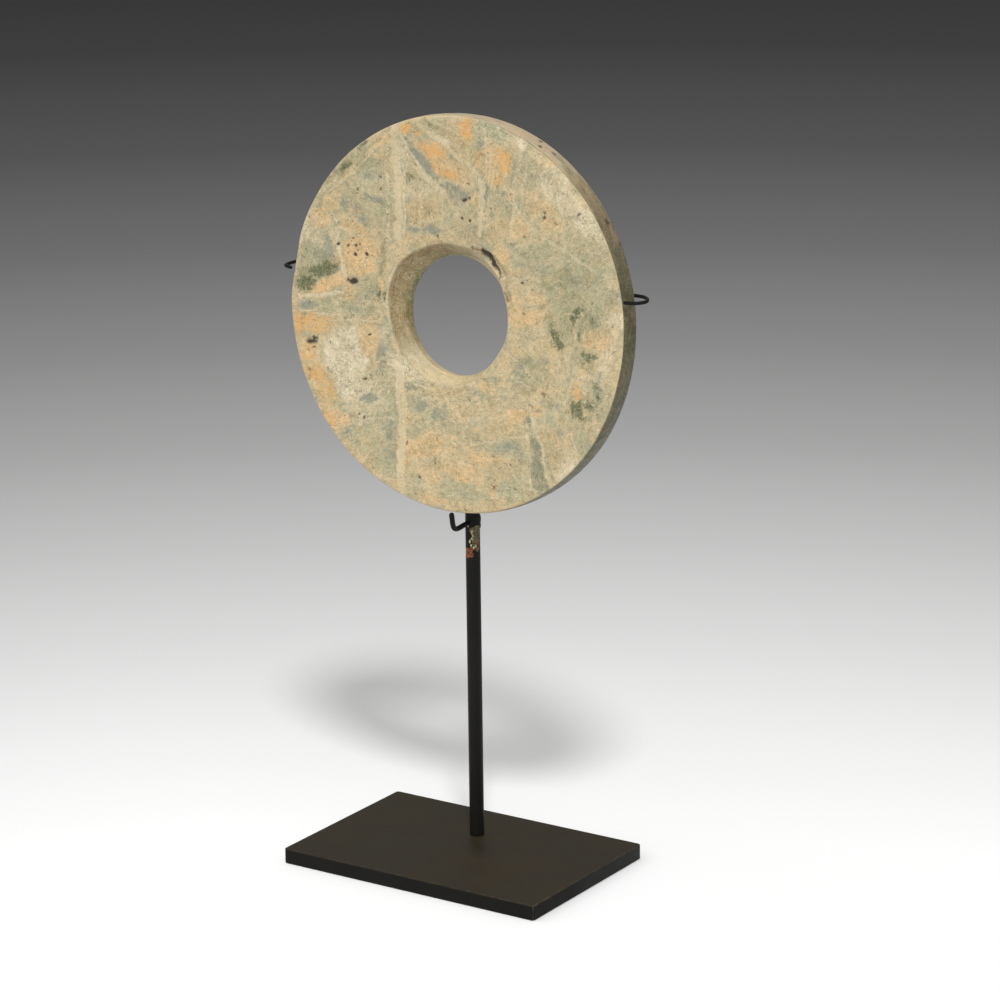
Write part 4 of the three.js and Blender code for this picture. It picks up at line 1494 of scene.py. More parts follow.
@dataclass(frozen=True)
class JadeFinish:
    """The stone's surface: fine grain, hairlines, specks and a low polish over the painted mottle."""

    roughness: float = 0.52
    tone: Colour = (0.91, 0.86, 0.855, 1.0)

    @staticmethod
    def broken(
        shader: Shader, share: Socket, size: float, shift: float, most: float, crumble: float = 2.6
    ) -> Socket:
        """Breaks the edge of a mark up into crisp bits.

        Args:
            shader: The material that is being built.
            share: The mark's soft share.
            size: Size of the bits in millimetres.
            shift: Which part of the noise breaks it.
            most: Its full cover.
            crumble: How strongly its edge breaks up.

        Returns:
            The mark's cover.
        """
        grain = shader.noise(size, 6, 0.78, 0.6, shift=shift)
        bits = shader.math("MULTIPLY", shader.math("SUBTRACT", grain, 0.5), crumble)
        return shader.step(shader.math("ADD", share, bits), 0.3, 0.7, 0.0, most)

    @staticmethod
    def hairline(shader: Shader, grain: Socket, width: float, most: float) -> Socket:
        """Draws lines where a noise crosses its middle: width is half of theirs, most their full cover."""
        away = shader.math("ABSOLUTE", shader.math("SUBTRACT", grain, 0.5))
        return shader.step(away, width, 0.0, 0.0, most)

    def streaked(self, shader: Shader, colour: Socket) -> Socket:
        """Draws the fine streaks along their painted layout.

        Args:
            shader: The material that is being built.
            colour: Colour so far.

        Returns:
            The streaked colour.
        """
        laid = shader.add("ShaderNodeSeparateXYZ", {0: shader.attribute("weave").outputs["Vector"]}).outputs
        place = shader.add("ShaderNodeCombineXYZ", {0: laid[0], 1: laid[1]}).outputs[0]
        bold = shader.noise((9.0, 1.6, 9.0), 5, 0.68, 0.9, vector=place)
        thin = shader.noise((4.0, 0.7, 9.0), 3, 0.65, 0.9, shift=13, vector=place)
        dark = shader.math("MULTIPLY", shader.step(bold, 0.56, 0.68, 0.0, 0.42), laid[2])
        colour = shader.mix(dark, colour, Stone.OLIVE.colour)
        light = shader.math("MULTIPLY", self.hairline(shader, bold, 0.026, 0.55), laid[2])
        colour = shader.mix(light, colour, Stone.VEIN.colour)
        shade = shader.math("MULTIPLY", shader.step(thin, 0.34, 0.66, -0.13, 0.1), laid[2])
        return shader.scale_colour(colour, shader.math("ADD", 1.0, shade))

    def filaments(self, shader: Shader, colour: Socket) -> Socket:
        """Draws short curled lines, pale ones and olive ones, thicker in some places than in others.

        Args:
            shader: The material that is being built.
            colour: Colour so far.

        Returns:
            The colour with the lines.
        """
        kinds = (
            (5.5, 11, Stone.VEIN, 0.75), (3.6, 29, Stone.VEIN, 0.6),
            (4.8, 47, Stone.OLIVE, 0.65), (3.2, 71, Stone.OLIVE, 0.5),
        )
        for size, shift, hue, most in kinds:
            line = self.hairline(shader, shader.noise(size, 3, 0.6, 2.4, shift=shift), 0.036, most)
            here = shader.step(shader.noise(8.0, 3, 0.6, shift=shift + 3), 0.42, 0.6)
            colour = shader.mix(shader.math("MULTIPLY", line, here), colour, hue.colour)
        return colour

    def material(self) -> Material:
        """Builds the material.

        Returns:
            The material.
        """
        shader = Shader("mottled_jade")
        marks = shader.attribute("marks")
        split = shader.add("ShaderNodeSeparateColor", {0: marks.outputs["Color"]}).outputs
        tint = shader.attribute("tint").outputs
        cloud = shader.step(shader.noise(2.8, 6, 0.74, 0.8), 0.32, 0.7, 0.79, 1.14)
        sand = shader.step(shader.noise(0.8, 3, 0.7, shift=31), 0.3, 0.7, 0.89, 1.1)
        colour = shader.scale_colour(shader.scale_colour(tint["Color"], cloud), sand)
        warm = shader.step(shader.noise(3.6, 6, 0.72, 0.9, shift=57), 0.52, 0.64, 0.0, 0.35)
        colour = shader.mix(warm, colour, Stone.PEACH.colour)
        cool = shader.step(shader.noise(3.1, 6, 0.72, 0.9, shift=83), 0.52, 0.62, 0.0, 0.6)
        colour = shader.mix(cool, colour, Stone.GREY_GREEN.colour)
        colour = self.filaments(shader, self.streaked(shader, colour))
        blue = self.broken(shader, marks.outputs["Alpha"], 3.0, 21, 0.7)
        clouded = shader.step(shader.noise(1.6, 4, 0.7, shift=23), 0.35, 0.65)
        shaded = shader.mix(clouded, Stone.SLATE.colour, Stone.BLUE_GREY.colour)
        colour = shader.mix(blue, colour, shaded)
        orange = self.broken(shader, split[1], 2.4, 39, 0.65)
        colour = shader.mix(orange, colour, Stone.ORANGE.colour)
        green = self.broken(shader, split[0], 2.2, 66, 0.85, 4.2)
        mossy = shader.step(shader.noise(0.9, 3, 0.7, shift=90), 0.36, 0.64)
        deep = shader.mix(mossy, Stone.DEEP_GREEN.colour, Stone.MOSS.colour)
        colour = shader.mix(green, colour, deep)
        vein = self.broken(shader, split[2], 1.3, 51, 0.55)
        colour = shader.mix(vein, colour, Stone.VEIN.colour)
        here = shader.step(shader.noise(16.0, 2, shift=5), 0.46, 0.6)
        crack = self.hairline(shader, shader.noise(7.5, 6, 0.68, 1.1, shift=19), 0.007, 0.8)
        colour = shader.mix(shader.math("MULTIPLY", crack, here), colour, Stone.UMBER.colour)
        cluster = shader.step(shader.noise(9.0, 2, shift=62), 0.45, 0.62)
        dots = shader.step(shader.noise(0.85, 1, 0.5, shift=44), 0.68, 0.75, 0.0, 0.85)
        speck = shader.math("MULTIPLY", dots, cluster)
        colour = shader.mix(speck, colour, Stone.SPECK.colour)
        colour = shader.mix(tint["Alpha"], tint["Color"], colour)
        colour = shader.mix(1.0, colour, self.tone, "MULTIPLY")
        relief = shader.bump(shader.noise(2.2, 5, 0.65, 0.4), 0.1)
        relief = shader.bump(shader.math("SUBTRACT", 1.0, speck), 0.12, relief)
        low, high = self.roughness - 0.08, self.roughness + 0.1
        polish = shader.step(shader.noise(3.0, 3, shift=70), 0.3, 0.7, low, high)
        shader.set(base_color=colour, roughness=polish, normal=relief, ior=1.6, specular_ior_level=0.35)
        return shader.material


# The stand's finishes

@dataclass(frozen=True)
class PaintFinish:
    """Satin brown-black paint on steel, thin and lighter where it is rubbed; on the plate the sides get a
    painted shade.
    """

    name: str
    light: tuple[int, int, int] = (24, 22, 18)
    dark: tuple[int, int, int] = (18, 17, 14)
    speck: tuple[int, int, int] = (62, 57, 48)
    # Darker colour for the plate's sides: a painted shade.
    side: tuple[int, int, int] = (15, 14, 11)
    steel: tuple[int, int, int] = (112, 104, 88)
    rubbed_edges_and_shaded_sides: bool = False
    rough: float = 0.5
    shine: float = 0.12
    wear_from: float = 0.9
    wear_to: float = 0.2
    long_edge_wear: float = 0.12
    short_edge_wear: float = 0.3

    def edge_wear(self, shader: Shader) -> Socket:
        """Finds the plate's rubbed edges from Object coordinates, its corners more than its long edges.

        Args:
            shader: The material that is being built.

        Returns:
            How much an edge is rubbed, 0 away from it.
        """
        x, y, z = shader.add("ShaderNodeSeparateXYZ", {0: shader.place}).outputs
        sides = (
            (shader.math("ABSOLUTE", x), LAYOUT.plate_length / 2),
            (shader.math("ABSOLUTE", y), LAYOUT.plate_width / 2),
            (z, LAYOUT.plate_thickness),
        )
        near = [shader.step(place, edge - self.wear_from, edge - self.wear_to) for place, edge in sides]
        upright, long_edge, short_edge = (
            shader.math("MULTIPLY", near[a], near[b]) for a, b in ((0, 1), (1, 2), (0, 2))
        )
        long_edge = shader.math("MULTIPLY", long_edge, self.long_edge_wear)
        short_edge = shader.math("MULTIPLY", short_edge, self.short_edge_wear)
        return shader.math("MAXIMUM", upright, shader.math("MAXIMUM", long_edge, short_edge))

    def material(self) -> Material:
        """Builds the material.

        Returns:
            The material.
        """
        shader = Shader(self.name)
        cloud = shader.noise(26.0, 4, 0.6)
        fine = shader.noise(0.7, 2, 0.6, shift=9)
        colour = shader.mix(shader.step(cloud, 0.35, 0.7), linear(*self.dark), linear(*self.light))
        colour = shader.mix(shader.step(fine, 0.6, 0.75, 0.0, 0.2), colour, linear(*self.speck))
        scuff = shader.noise((16.0, 0.8, 5.0), 3, 0.6, 0.4, (0, 0, 0.5), 15)
        rubbed = shader.step(scuff, 0.66, 0.78, 0.0, 0.08)
        if self.rubbed_edges_and_shaded_sides:
            # Painted shade: the plate's sides below the top edge are laid darker than its top.
            height = shader.add("ShaderNodeSeparateXYZ", {0: shader.place}).outputs[2]
            side = shader.step(height, LAYOUT.plate_thickness - 0.2, LAYOUT.plate_thickness - 0.6)
            colour = shader.mix(side, colour, linear(*self.side))
            broken = shader.step(shader.noise(5.0, 4, 0.7, shift=3), 0.4, 0.62, 0.1, 0.7)
            rubbed = shader.math("MAXIMUM", rubbed, shader.math("MULTIPLY", self.edge_wear(shader), broken))
        colour = shader.mix(rubbed, colour, linear(*self.steel))
        rough = shader.step(cloud, 0.3, 0.75, self.rough - 0.06, self.rough + 0.12)
        relief = shader.bump(shader.noise(0.9, 3, 0.6, shift=27), 0.02)
        shader.set(base_color=colour, roughness=rough, normal=relief, ior=1.5, specular_ior_level=self.shine)
        return shader.material


@dataclass(frozen=True)
class BrazeFinish:
    """Rough braze and bare steel under broken paint, coloured by the piece's own marks."""

    name: str = "braze_and_paint"

    def material(self) -> Material:
        """Builds the material.

        Returns:
            The material.
        """
        shader = Shader(self.name)
        marks = shader.attribute("marks").outputs["Color"]
        parts = shader.add("ShaderNodeSeparateColor", {0: marks}).outputs
        cloud = shader.noise(26.0, 4, 0.6)
        fine = shader.noise(0.7, 4, 0.7, shift=9)
        crumbs = shader.math("SUBTRACT", shader.noise(1.3, 4, 0.7, 0.5, shift=2), 0.5)
        ragged = shader.math("MULTIPLY", crumbs, 1.3)
        colour = shader.mix(shader.step(cloud, 0.35, 0.7), Metal.PAINT.colour, Metal.THIN_PAINT.colour)
        bare = shader.step(shader.math("ADD", parts[0], ragged), 0.4, 0.6)
        metal = shader.mix(shader.step(fine, 0.35, 0.68), Metal.DULL_BRAZE.colour, Metal.BRAZE.colour)
        colour = shader.mix(bare, colour, metal)
        rust = shader.step(shader.math("ADD", parts[1], ragged), 0.3, 0.8)
        rusty = shader.mix(shader.step(fine, 0.38, 0.66), Metal.DARK_RUST.colour, Metal.RUST.colour)
        colour = shader.mix(rust, colour, rusty)
        # Painted highlight: glints of light on the bare braze.
        glint = shader.step(shader.math("ADD", parts[2], ragged), 0.3, 0.75)
        colour = shader.mix(glint, colour, Metal.GLINT.colour)
        rough = shader.step(fine, 0.3, 0.7, 0.38, 0.62)
        relief = shader.bump(shader.noise(1.1, 4, 0.65, shift=12), 0.12)
        shader.set(base_color=colour, roughness=rough, normal=relief, ior=1.5, specular_ior_level=0.14)
        return shader.material


# The stand

def smooth_path(points: Sequence[Array], steps: int = 14) -> list[Array]:
    """Threads a centripetal Catmull-Rom curve through points, as the part's source does.

    Args:
        points: The points in millimetres.
        steps: Straight steps for each stretch between two points.

    Returns:
        The points of the smooth curve.
    """
    ends = [2 * points[0] - points[1], *points, 2 * points[-1] - points[-2]]
    path: list[Array] = []
    for p0, p1, p2, p3 in zip(ends, ends[1:], ends[2:], ends[3:]):
        gaps = [max(math.sqrt(float(np.linalg.norm(b - a))), 1e-4) for a, b in ((p0, p1), (p1, p2), (p2, p3))]
        t1 = (p1 - p0) / gaps[0] - (p2 - p0) / (gaps[0] + gaps[1]) + (p2 - p1) / gaps[1]
        t2 = (p2 - p1) / gaps[1] - (p3 - p1) / (gaps[1] + gaps[2]) + (p3 - p2) / gaps[2]
        t1, t2 = t1 * gaps[1], t2 * gaps[1]
        for t in np.arange(steps) / steps:
            cubic = 2 * p1 - 2 * p2 + t1 + t2
            square = -3 * p1 + 3 * p2 - 2 * t1 - t2
            path.append(cubic * t**3 + square * t**2 + t1 * t + p1)
    path.append(points[-1])
    return path


def wire_recipe(material: Material) -> Recipe:
    """Builds the tree that sweeps a round wire along a path and rounds its two ends.

    Args:
        material: The wire's finish.

    Returns:
        The tree.
    """
    recipe = Recipe("bent_wire")
    diameter = recipe.size("Wire diameter")
    spacing = recipe.size("Ring spacing")
    sides = recipe.size("Sides", whole=True)
    radius = recipe.math("MULTIPLY", diameter, 0.5)
    from_end = recipe.math("MINIMUM", *recipe.to_ends())
    inward = recipe.math("SUBTRACT", 1.0, recipe.math("DIVIDE", from_end, radius), clamp=True)
    round_off = recipe.math("SQRT", recipe.math("SUBTRACT", 1.0, recipe.math("MULTIPLY", inward, inward)))
    blunt_tip = 0.12
    scale = recipe.math("MAXIMUM", round_off, blunt_tip)
    recipe.end(recipe.sweep(spacing, sides, radius, scale), material)
    return recipe


@dataclass(frozen=True)
class Clip:
    """A rim clip: height above the disc's middle, reach outwards and how far its tip passes the rim."""

    side: int
    rise: float
    reach: float
    past: float


@dataclass
class WireWork:
    """The bottom hook and the two arms with their clips."""

    hook_wire: float = 2.4
    arm_wire: float = 1.8
    within: float = 0.9
    arm_root: float = 10.0
    arm_bend: float = 27.0
    ring_spacing: float = 0.22
    sides: int = 20
    left: Clip = Clip(-1, 13.1, 5.3, 0.8)
    right: Clip = Clip(1, 16.2, 9.3, -1.2)

    def arm_points(self, clip: Clip) -> list[Array]:
        """Lays out an arm from the post to its clip, as the part's source does.

        Args:
            clip: The clip at its end.

        Returns:
            The points that the wire passes through.
        """
        thick = LAYOUT.disc_thickness
        wire = self.arm_wire / 2
        rim = math.sqrt(LAYOUT.disc_radius**2 - clip.rise**2)
        behind = thick + wire + LAYOUT.contact_gap
        tip_depth = -(wire + LAYOUT.contact_gap) if clip.past > 0 else -wire / 2
        arm_x = LAYOUT.post_x + clip.side * (LAYOUT.post_radius + wire + LAYOUT.contact_gap)
        seat, post_y = LAYOUT.seat, LAYOUT.post_y
        bend = np.array((arm_x, post_y, seat + self.arm_bend))
        at_rim = LAYOUT.on_disc(clip.side * (rim - 5), behind + 0.2, clip.rise - 0.2)
        # The hairpin beside the rim: share of the clip's reach, depth and lift
        hairpin = (
            (0.2, behind - 0.2, 0.7), (0.55, thick - 1.0, 0.8), (0.86, 0.7 * thick, 0.6),
            (1.0, 0.44 * thick, 0.2), (0.93, 0.2 * thick, 0.0), (0.7, 0.05 * thick, -0.2),
        )
        loop = (
            LAYOUT.on_disc(clip.side * (rim + share * clip.reach), depth, clip.rise + lift)
            for share, depth, lift in hairpin
        )
        return [
            np.array((arm_x, post_y, seat + self.arm_root)),
            np.array((arm_x, post_y, seat + 0.5 * (self.arm_root + self.arm_bend))),
            np.array((arm_x, post_y, seat + 0.1 * self.arm_root + 0.9 * self.arm_bend)),
            bend + np.array((clip.side * 0.1 * self.arm_wire, 0.0, 0.0)),
            *(bend + share * (at_rim - bend) for share in (0.05, 0.35, 0.7)),
            at_rim,
            *loop,
            LAYOUT.on_disc(clip.side * (rim - clip.past), tip_depth, clip.rise - 0.4),
        ]

    def hook_points(self) -> list[Array]:
        """Lays out the hook from the braze to its tip below the disc's edge.

        Returns:
            The points that the wire passes through.
        """
        root_y = LAYOUT.post_y - LAYOUT.post_radius - LAYOUT.bead_gap
        tip = LAYOUT.on_disc(0.0, 1.4, -LAYOUT.disc_radius)
        # Sway to the right, share of the way forward and drop below the seat
        stations = (
            (-0.3, 0.0, 9.0), (-0.4, 0.18, 9.2), (-0.8, 0.38, 9.7), (-1.0, 0.56, 9.9),
            (-0.9, 0.72, 9.0), (-0.5, 0.84, 6.6), (0.16, 0.94, 3.6),
        )
        points = [
            np.array((LAYOUT.post_x + sway, root_y + forward * (tip[1] - root_y), LAYOUT.seat - drop))
            for sway, forward, drop in stations
        ]
        return [*points, np.array((LAYOUT.post_x + 0.4, tip[1], tip[2] - 0.6))]

    def build(self, material: Material) -> list[Piece]:
        """Makes the three wires.

        Args:
            material: Their finish.

        Returns:
            The finished pieces.
        """
        recipe = wire_recipe(material)
        wires = (
            ("hook_wire", "bottom_hook", self.hook_points(), self.hook_wire),
            ("left_arm_wire", "left_arm", self.arm_points(self.left), self.within * self.arm_wire),
            ("right_arm_wire", "right_arm", self.arm_points(self.right), self.within * self.arm_wire),
        )
        pieces = []
        for name, node, points, diameter in wires:
            source = line_object(name + "_path", smooth_path(points))
            spacing = self.ring_spacing * MM
            sizes = {"Wire diameter": diameter * MM, "Ring spacing": spacing, "Sides": self.sides}
            pieces.append(attach(recipe.run(source, name, sizes), "black_paint", node))
        return pieces


@dataclass
class Post:
    """The round bar, with the flow of braze and rust on it below the disc."""

    chamfer: float = 0.6
    paint: float = 0.2
    sides: int = 72
    ring_spacing: float = 0.45

    def recipe(self, material: Material) -> Recipe:
        """Builds the tree that sweeps a circle up the bar and chamfers its top.

        Args:
            material: The bar's finish.

        Returns:
            The tree.
        """
        recipe = Recipe("round_bar")
        radius = recipe.size("Bar radius")
        chamfer = recipe.size("Chamfer")
        spacing = recipe.size("Ring spacing")
        sides = recipe.size("Sides", whole=True)
        _, left = recipe.to_ends()
        cut = recipe.math("MAXIMUM", recipe.math("SUBTRACT", chamfer, left), 0.0)
        scale = recipe.math("SUBTRACT", 1.0, recipe.math("DIVIDE", cut, radius))
        recipe.end(recipe.sweep(spacing, sides, radius, scale), material)
        return recipe

    def build(self, material: Material) -> Piece:
        """Makes the bar and marks where the braze shows.

        Args:
            material: Paint that breaks to braze and rust.

        Returns:
            The finished piece.
        """
        low = (LAYOUT.post_x, LAYOUT.post_y, LAYOUT.plate_thickness)
        high = (LAYOUT.post_x, LAYOUT.post_y, LAYOUT.post_top)
        source = line_object("bar_path", [low, high])
        sizes = {
            "Bar radius": (LAYOUT.post_radius + self.paint) * MM,
            "Chamfer": self.chamfer * MM,
            "Ring spacing": self.ring_spacing * MM,
            "Sides": self.sides,
        }
        piece = self.recipe(material).run(source, "post_bar", sizes)
        places = places_of(piece)
        marks, lift = BrazeMarks().of(places)
        axis = np.array((LAYOUT.post_x, LAYOUT.post_y, 0.0))
        outward = (places - axis) * (1.0, 1.0, 0.0)
        outward /= np.maximum(np.linalg.norm(outward, axis=1, keepdims=True), 1e-6)
        put_places(piece, places + outward * lift[:, None])
        put_tint(piece, "marks", marks)
        return attach(piece, "black_paint", "post")


@dataclass(frozen=True)
class Patch:
    """A patch on the post: middle angle and half width in degrees, height and half height."""

    angle: float
    wide: float
    height: float
    tall: float


@dataclass
class BrazeMarks:
    """Where braze, rust and painted glints show on the post's front, by angle round it and height."""

    bare: tuple[Patch, ...] = rows(Patch, (62, 50, 154.4, 3.6), (66, 34, 149.4, 3.4))
    rusty: tuple[Patch, ...] = rows(
        Patch, (-6, 40, 144.6, 2.8), (86, 16, 148.8, 1.4), (24, 26, 147.0, 1.2),
    )
    glint_spots: tuple[Patch, ...] = rows(
        Patch, (26, 7, 155.0, 0.8), (33, 6, 153.4, 0.7), (24, 8, 151.9, 0.6), (9, 8, 150.5, 0.9),
        (20, 9, 148.6, 0.8), (38, 11, 147.7, 0.7), (54, 8, 148.4, 0.6), (-4, 7, 158.2, 0.8),
        (-44, 7, 145.4, 1.5),
    )

    @staticmethod
    def patch(angle: Array, height: Array, ragged: Array, spots: Sequence[Patch]) -> Array:
        """Adds up patches.

        Args:
            angle: Degrees round the post.
            height: Heights in millimetres.
            ragged: Noise that breaks the outlines.
            spots: The patches.

        Returns:
            Their share at each place.
        """
        share = np.zeros(len(height))
        for spot in spots:
            reach = np.hypot(swing(angle, spot.angle) / spot.wide, (height - spot.height) / spot.tall)
            share = np.maximum(share, soft_step(reach + 0.45 * ragged, 1.25, 0.7))
        return share

    def of(self, places: Array) -> tuple[Array, Array]:
        """Marks vertices and lifts them where braze has run.

        Args:
            places: Vertices in millimetres.

        Returns:
            Bare, rusty and painted glint shares as colours, and the lift in millimetres.
        """
        angle = np.degrees(np.arctan2(places[:, 0] - LAYOUT.post_x, LAYOUT.post_y - places[:, 1]))
        ragged = Grain(SEED + 60).layered(places, 2.4, 3)
        bare, rusty, glint_spots = (
            self.patch(angle, places[:, 2], ragged, spots) for spots in (self.bare, self.rusty, self.glint_spots)
        )
        lift = 0.35 * bare * np.clip(0.5 + ragged, 0.0, 1.0)
        return np.stack((bare, rusty, glint_spots), axis=1), lift


@dataclass
class BrazeBead:
    """The lump of braze round the post where the hook joins it."""

    radius: float = 3.9
    height: float = 6.4
    middle: float = 159.2
    turns: int = 96
    clearance: float = 0.22
    heavy_side: float = math.radians(33.0)

    def section(self) -> list[tuple[float, float]]:
        """Draws the bead's section: up the bulging outside and down beside the post.

        Returns:
            Points of radius and height.
        """
        inner = LAYOUT.post_radius + self.clearance
        points = []
        for share in np.linspace(-1.0, 1.0, 21):
            bulge = (1 - abs(share) ** 2.6) ** 0.5
            points.append((inner + 0.1 + (self.radius - 0.25 - inner) * bulge, share * self.height / 2))
        points += [(inner, share * self.height / 2) for share in np.linspace(1.0, -1.0, 6)]
        return points

    def build(self, material: Material) -> Piece:
        """Makes the bead, with lumps and a heavier side.

        Args:
            material: Paint that breaks to braze.

        Returns:
            The finished piece.
        """
        profile = [(radius - LAYOUT.post_radius, -height) for radius, height in self.section()]
        source = line_object("bead_section", profile[::-1], closed=True)
        sizes = {"Turns": self.turns, "Path radius": LAYOUT.post_radius * MM}
        piece = turned_recipe("turned_bead", material).run(source, "braze_bead", sizes)
        places = places_of(piece)
        reach = np.hypot(places[:, 0], places[:, 1])
        outward = np.stack((places[:, 0] / reach, places[:, 1] / reach, 0 * reach), axis=1)
        outside = soft_step(reach, LAYOUT.post_radius + 0.1, LAYOUT.post_radius + 0.5)
        lumps = Grain(SEED + 70).layered(places, 3.0, 3)
        to_right = outward[:, 0] * math.cos(self.heavy_side) + outward[:, 1] * math.sin(self.heavy_side)
        places = places + outward * ((0.25 * lumps + 0.2 * to_right - 0.2) * outside)[:, None]
        places += np.array((LAYOUT.post_x, LAYOUT.post_y, self.middle))
        put_places(piece, places)
        marks, _ = BrazeMarks().of(places)
        put_tint(piece, "marks", marks)
        return attach(piece, "braze", "braze_collar")


@dataclass
class BasePlate:
    """The flat plate with small rounded corners and softened edges."""

    corner: float = 1.4
    edge: float = 0.45

    def build(self, material: Material) -> Piece:
        """Makes the plate.

        Args:
            material: Paint with rubbed edges.

        Returns:
            The finished piece.
        """
        half_x, half_y = LAYOUT.plate_length / 2, LAYOUT.plate_width / 2
        outline: list[tuple[float, float]] = []
        for quarter, (sx, sy) in enumerate(((1, 1), (-1, 1), (-1, -1), (1, -1))):
            for share in np.linspace(0.0, 1.0, 7):
                turn = math.pi / 2 * (quarter + share)
                x = sx * (half_x - self.corner) + self.corner * math.cos(turn)
                y = sy * (half_y - self.corner) + self.corner * math.sin(turn)
                outline.append((x, y))
        levels: list[tuple[float, float]] = []
        for share in np.linspace(0.0, 1.0, 5):
            turn = math.pi / 2 * share
            levels.append((self.edge * (1 - math.sin(turn)), self.edge * (1 - math.cos(turn))))
        top = [(inset, LAYOUT.plate_thickness - level) for inset, level in reversed(levels)]
        rings = [*levels, *top]
        vertices = [
            ((x - math.copysign(inset, x)) * MM, (y - math.copysign(inset, y)) * MM, level * MM)
            for inset, level in rings
            for x, y in outline
        ]
        count = len(outline)
        faces: list[tuple[int, ...]] = [tuple(reversed(range(count)))]
        for ring in range(len(rings) - 1):
            for n in range(count):
                after = (n + 1) % count
                low, high = ring * count, (ring + 1) * count
                faces.append((low + n, low + after, high + after, high + n))
        faces.append(tuple(range((len(rings) - 1) * count, len(rings) * count)))
        mesh = bpy.data.meshes.new("plate")
        mesh.from_pydata(vertices, [], faces)
        mesh.materials.append(material)
        piece = stand("plate", mesh)
        for polygon in mesh.polygons:
            polygon.use_smooth = 0 < polygon.index < len(faces) - 1
        return attach(piece, "black_paint", "base_plate")


# Floor, light and camera

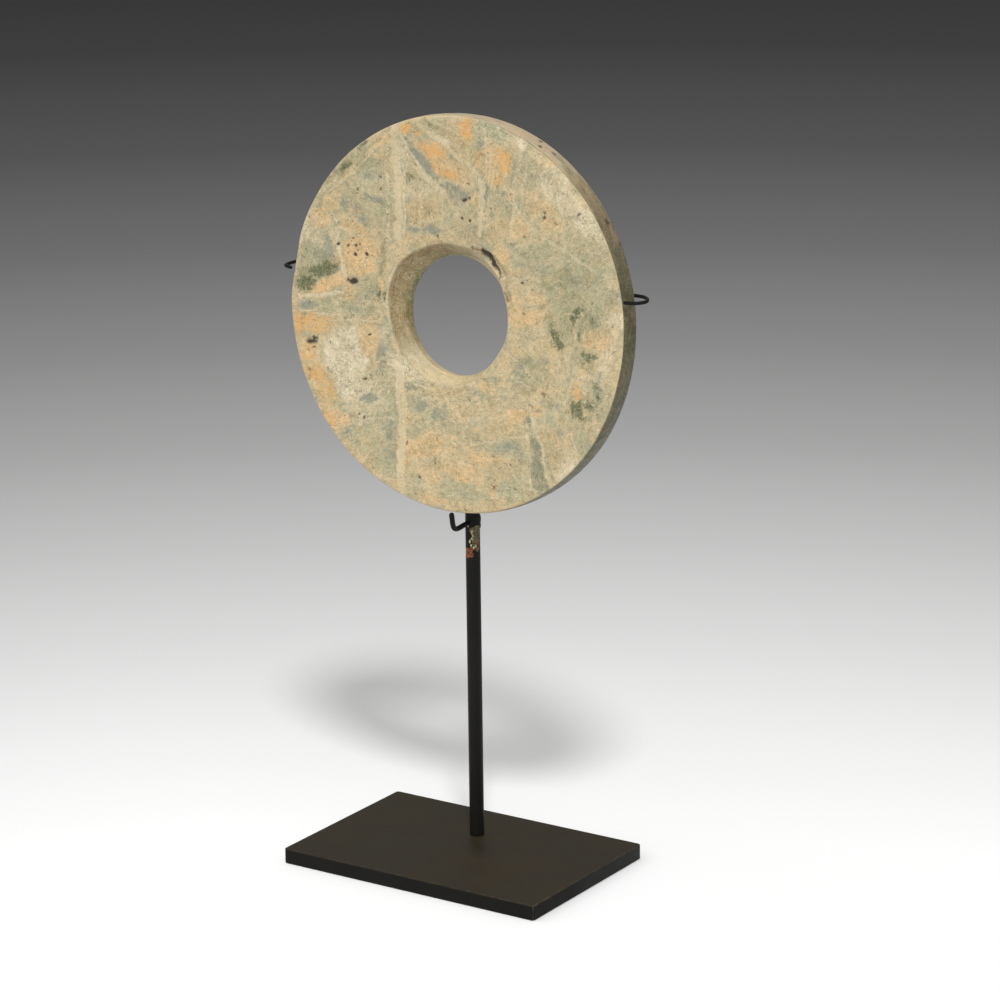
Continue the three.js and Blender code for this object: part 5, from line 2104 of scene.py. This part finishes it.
@dataclass
class Studio:
    """A pale floor with a painted pool of light that falls away to grey, a soft key light and the camera of
    the photograph.
    """

    azimuth: float = math.radians(33.635)
    elevation: float = math.radians(15.405)
    roll: float = math.radians(-0.6966)
    distance: float = 1672.43
    target: tuple[float, float, float] = (23.233, 0.0, 177.012)
    lens: float = 134.17
    floor_reach: float = 14.0
    floor_drop: float = 0.0002
    floor_middle: tuple[float, float, float] = (277.0, -416.0, 0.0)
    floor_shade: float = 0.92
    ramp_reach: float = 4.5
    ambient: float = 0.38
    warm_white: Colour = (1.0, 0.995, 0.985, 1.0)

    # Display grey of the floor's painted pool of light at each distance from its brightest place, in metres
    falloff: tuple[tuple[float, float], ...] = (
        (0.55, 255), (0.69, 241), (0.85, 219), (1.05, 193), (1.28, 164), (1.57, 136), (1.94, 108), (2.41, 83),
        (3.06, 62), (3.47, 56), (4.5, 50),
    )

    def floor(self) -> None:
        """Lays the floor and paints a pool of light on it, darker with distance from its brightest place."""
        reach = self.floor_reach
        mesh = bpy.data.meshes.new("floor")
        corners = [(-reach, -reach), (reach, -reach), (reach, reach), (-reach, reach)]
        mesh.from_pydata([(x, y, -self.floor_drop) for x, y in corners], [], [(0, 1, 2, 3)])
        shader = Shader("pale_floor")
        ends = {0: shader.place, 1: self.floor_middle}
        away = shader.add("ShaderNodeVectorMath", ends, operation="DISTANCE").outputs["Value"]
        ramp = shader.add("ShaderNodeValToRGB", {0: shader.math("DIVIDE", away, self.ramp_reach / MM)})
        stops = ramp.color_ramp.elements
        for number, (metres, grey) in enumerate(self.falloff):
            stop = stops[number] if number < 2 else stops.new(1.0)
            stop.position = metres / self.ramp_reach
            stop.color = tuple(self.floor_shade * part for part in linear(grey, grey, grey)[:3]) + (1.0,)
        shader.set(base_color=ramp.outputs["Color"], roughness=0.9, specular_ior_level=0.0)
        mesh.materials.append(shader.material)
        stand("floor", mesh)

    @staticmethod
    def sun(name: str, azimuth: float, elevation: float, strength: float, softness: float) -> None:
        """Adds a soft light that shines from one direction.

        Args:
            name: The light's name.
            azimuth: Degrees round the stand, 0 being in front of the disc.
            elevation: Degrees above the floor.
            strength: Its strength.
            softness: Width of the light in degrees.
        """
        light = bpy.data.lights.new(name, "SUN")
        light.energy = strength
        light.angle = math.radians(softness)
        lamp = bpy.data.objects.new(name, light)
        a, e = math.radians(azimuth), math.radians(elevation)
        towards = Vector((math.sin(a) * math.cos(e), -math.cos(a) * math.cos(e), math.sin(e)))
        lamp.rotation_mode = "QUATERNION"
        lamp.rotation_quaternion = towards.to_track_quat("Z", "Y")
        bpy.context.scene.collection.objects.link(lamp)

    def lights(self) -> None:
        """Sets the key, the weaker light that casts the ring's shadow, and the ambient light."""
        self.sun("key", azimuth=-12.0, elevation=50.0, strength=1.2, softness=100.0)
        self.sun("second", azimuth=36.4, elevation=52.0, strength=1.75, softness=9.5)
        world = bpy.data.worlds.new("ambient")
        world.use_nodes = True
        background = world.node_tree.nodes["Background"]
        background.inputs["Color"].default_value = self.warm_white
        background.inputs["Strength"].default_value = self.ambient
        bpy.context.scene.world = world

    def camera(self) -> None:
        """Places the camera at the photograph's angle."""
        a, e = self.azimuth, self.elevation
        back = Vector((math.sin(a) * math.cos(e), -math.cos(a) * math.cos(e), math.sin(e)))
        right = Vector((math.cos(a), math.sin(a), 0.0))
        up = back.cross(right)
        level = math.cos(self.roll) * right + math.sin(self.roll) * up
        upright = -math.sin(self.roll) * right + math.cos(self.roll) * up
        data = bpy.data.cameras.new("camera")
        data.lens = self.lens
        data.sensor_width = 36.0
        data.clip_start, data.clip_end = 0.05, 60.0
        camera = bpy.data.objects.new("camera", data)
        camera.matrix_world = Matrix.Translation((Vector(self.target) + self.distance * back) * MM) @ Matrix(
            (level, upright, back)
        ).transposed().to_4x4()
        bpy.context.scene.collection.objects.link(camera)
        bpy.context.scene.camera = camera

    def build(self) -> None:
        """Makes all of it and sets how the picture is developed."""
        self.camera()
        self.floor()
        self.lights()
        bpy.context.scene.view_settings.view_transform = "Standard"
        bpy.context.scene.view_settings.look = "None"
        LOG.info("studio: floor, lights and camera set")


def main() -> None:
    """Builds every piece in order."""
    logging.basicConfig(level=logging.INFO, format="%(message)s")
    Studio().build()
    paint = PaintFinish("satin_black_paint").material()
    plate_paint = PaintFinish("plate_black_paint", (50, 43, 31), (41, 36, 26), rubbed_edges_and_shaded_sides=True).material()
    braze = BrazeFinish().material()
    BiDisc().build(JadeFinish().material())
    BasePlate().build(plate_paint)
    Post().build(braze)
    WireWork().build(paint)
    BrazeBead().build(braze)


if __name__ == "__main__":
    main()
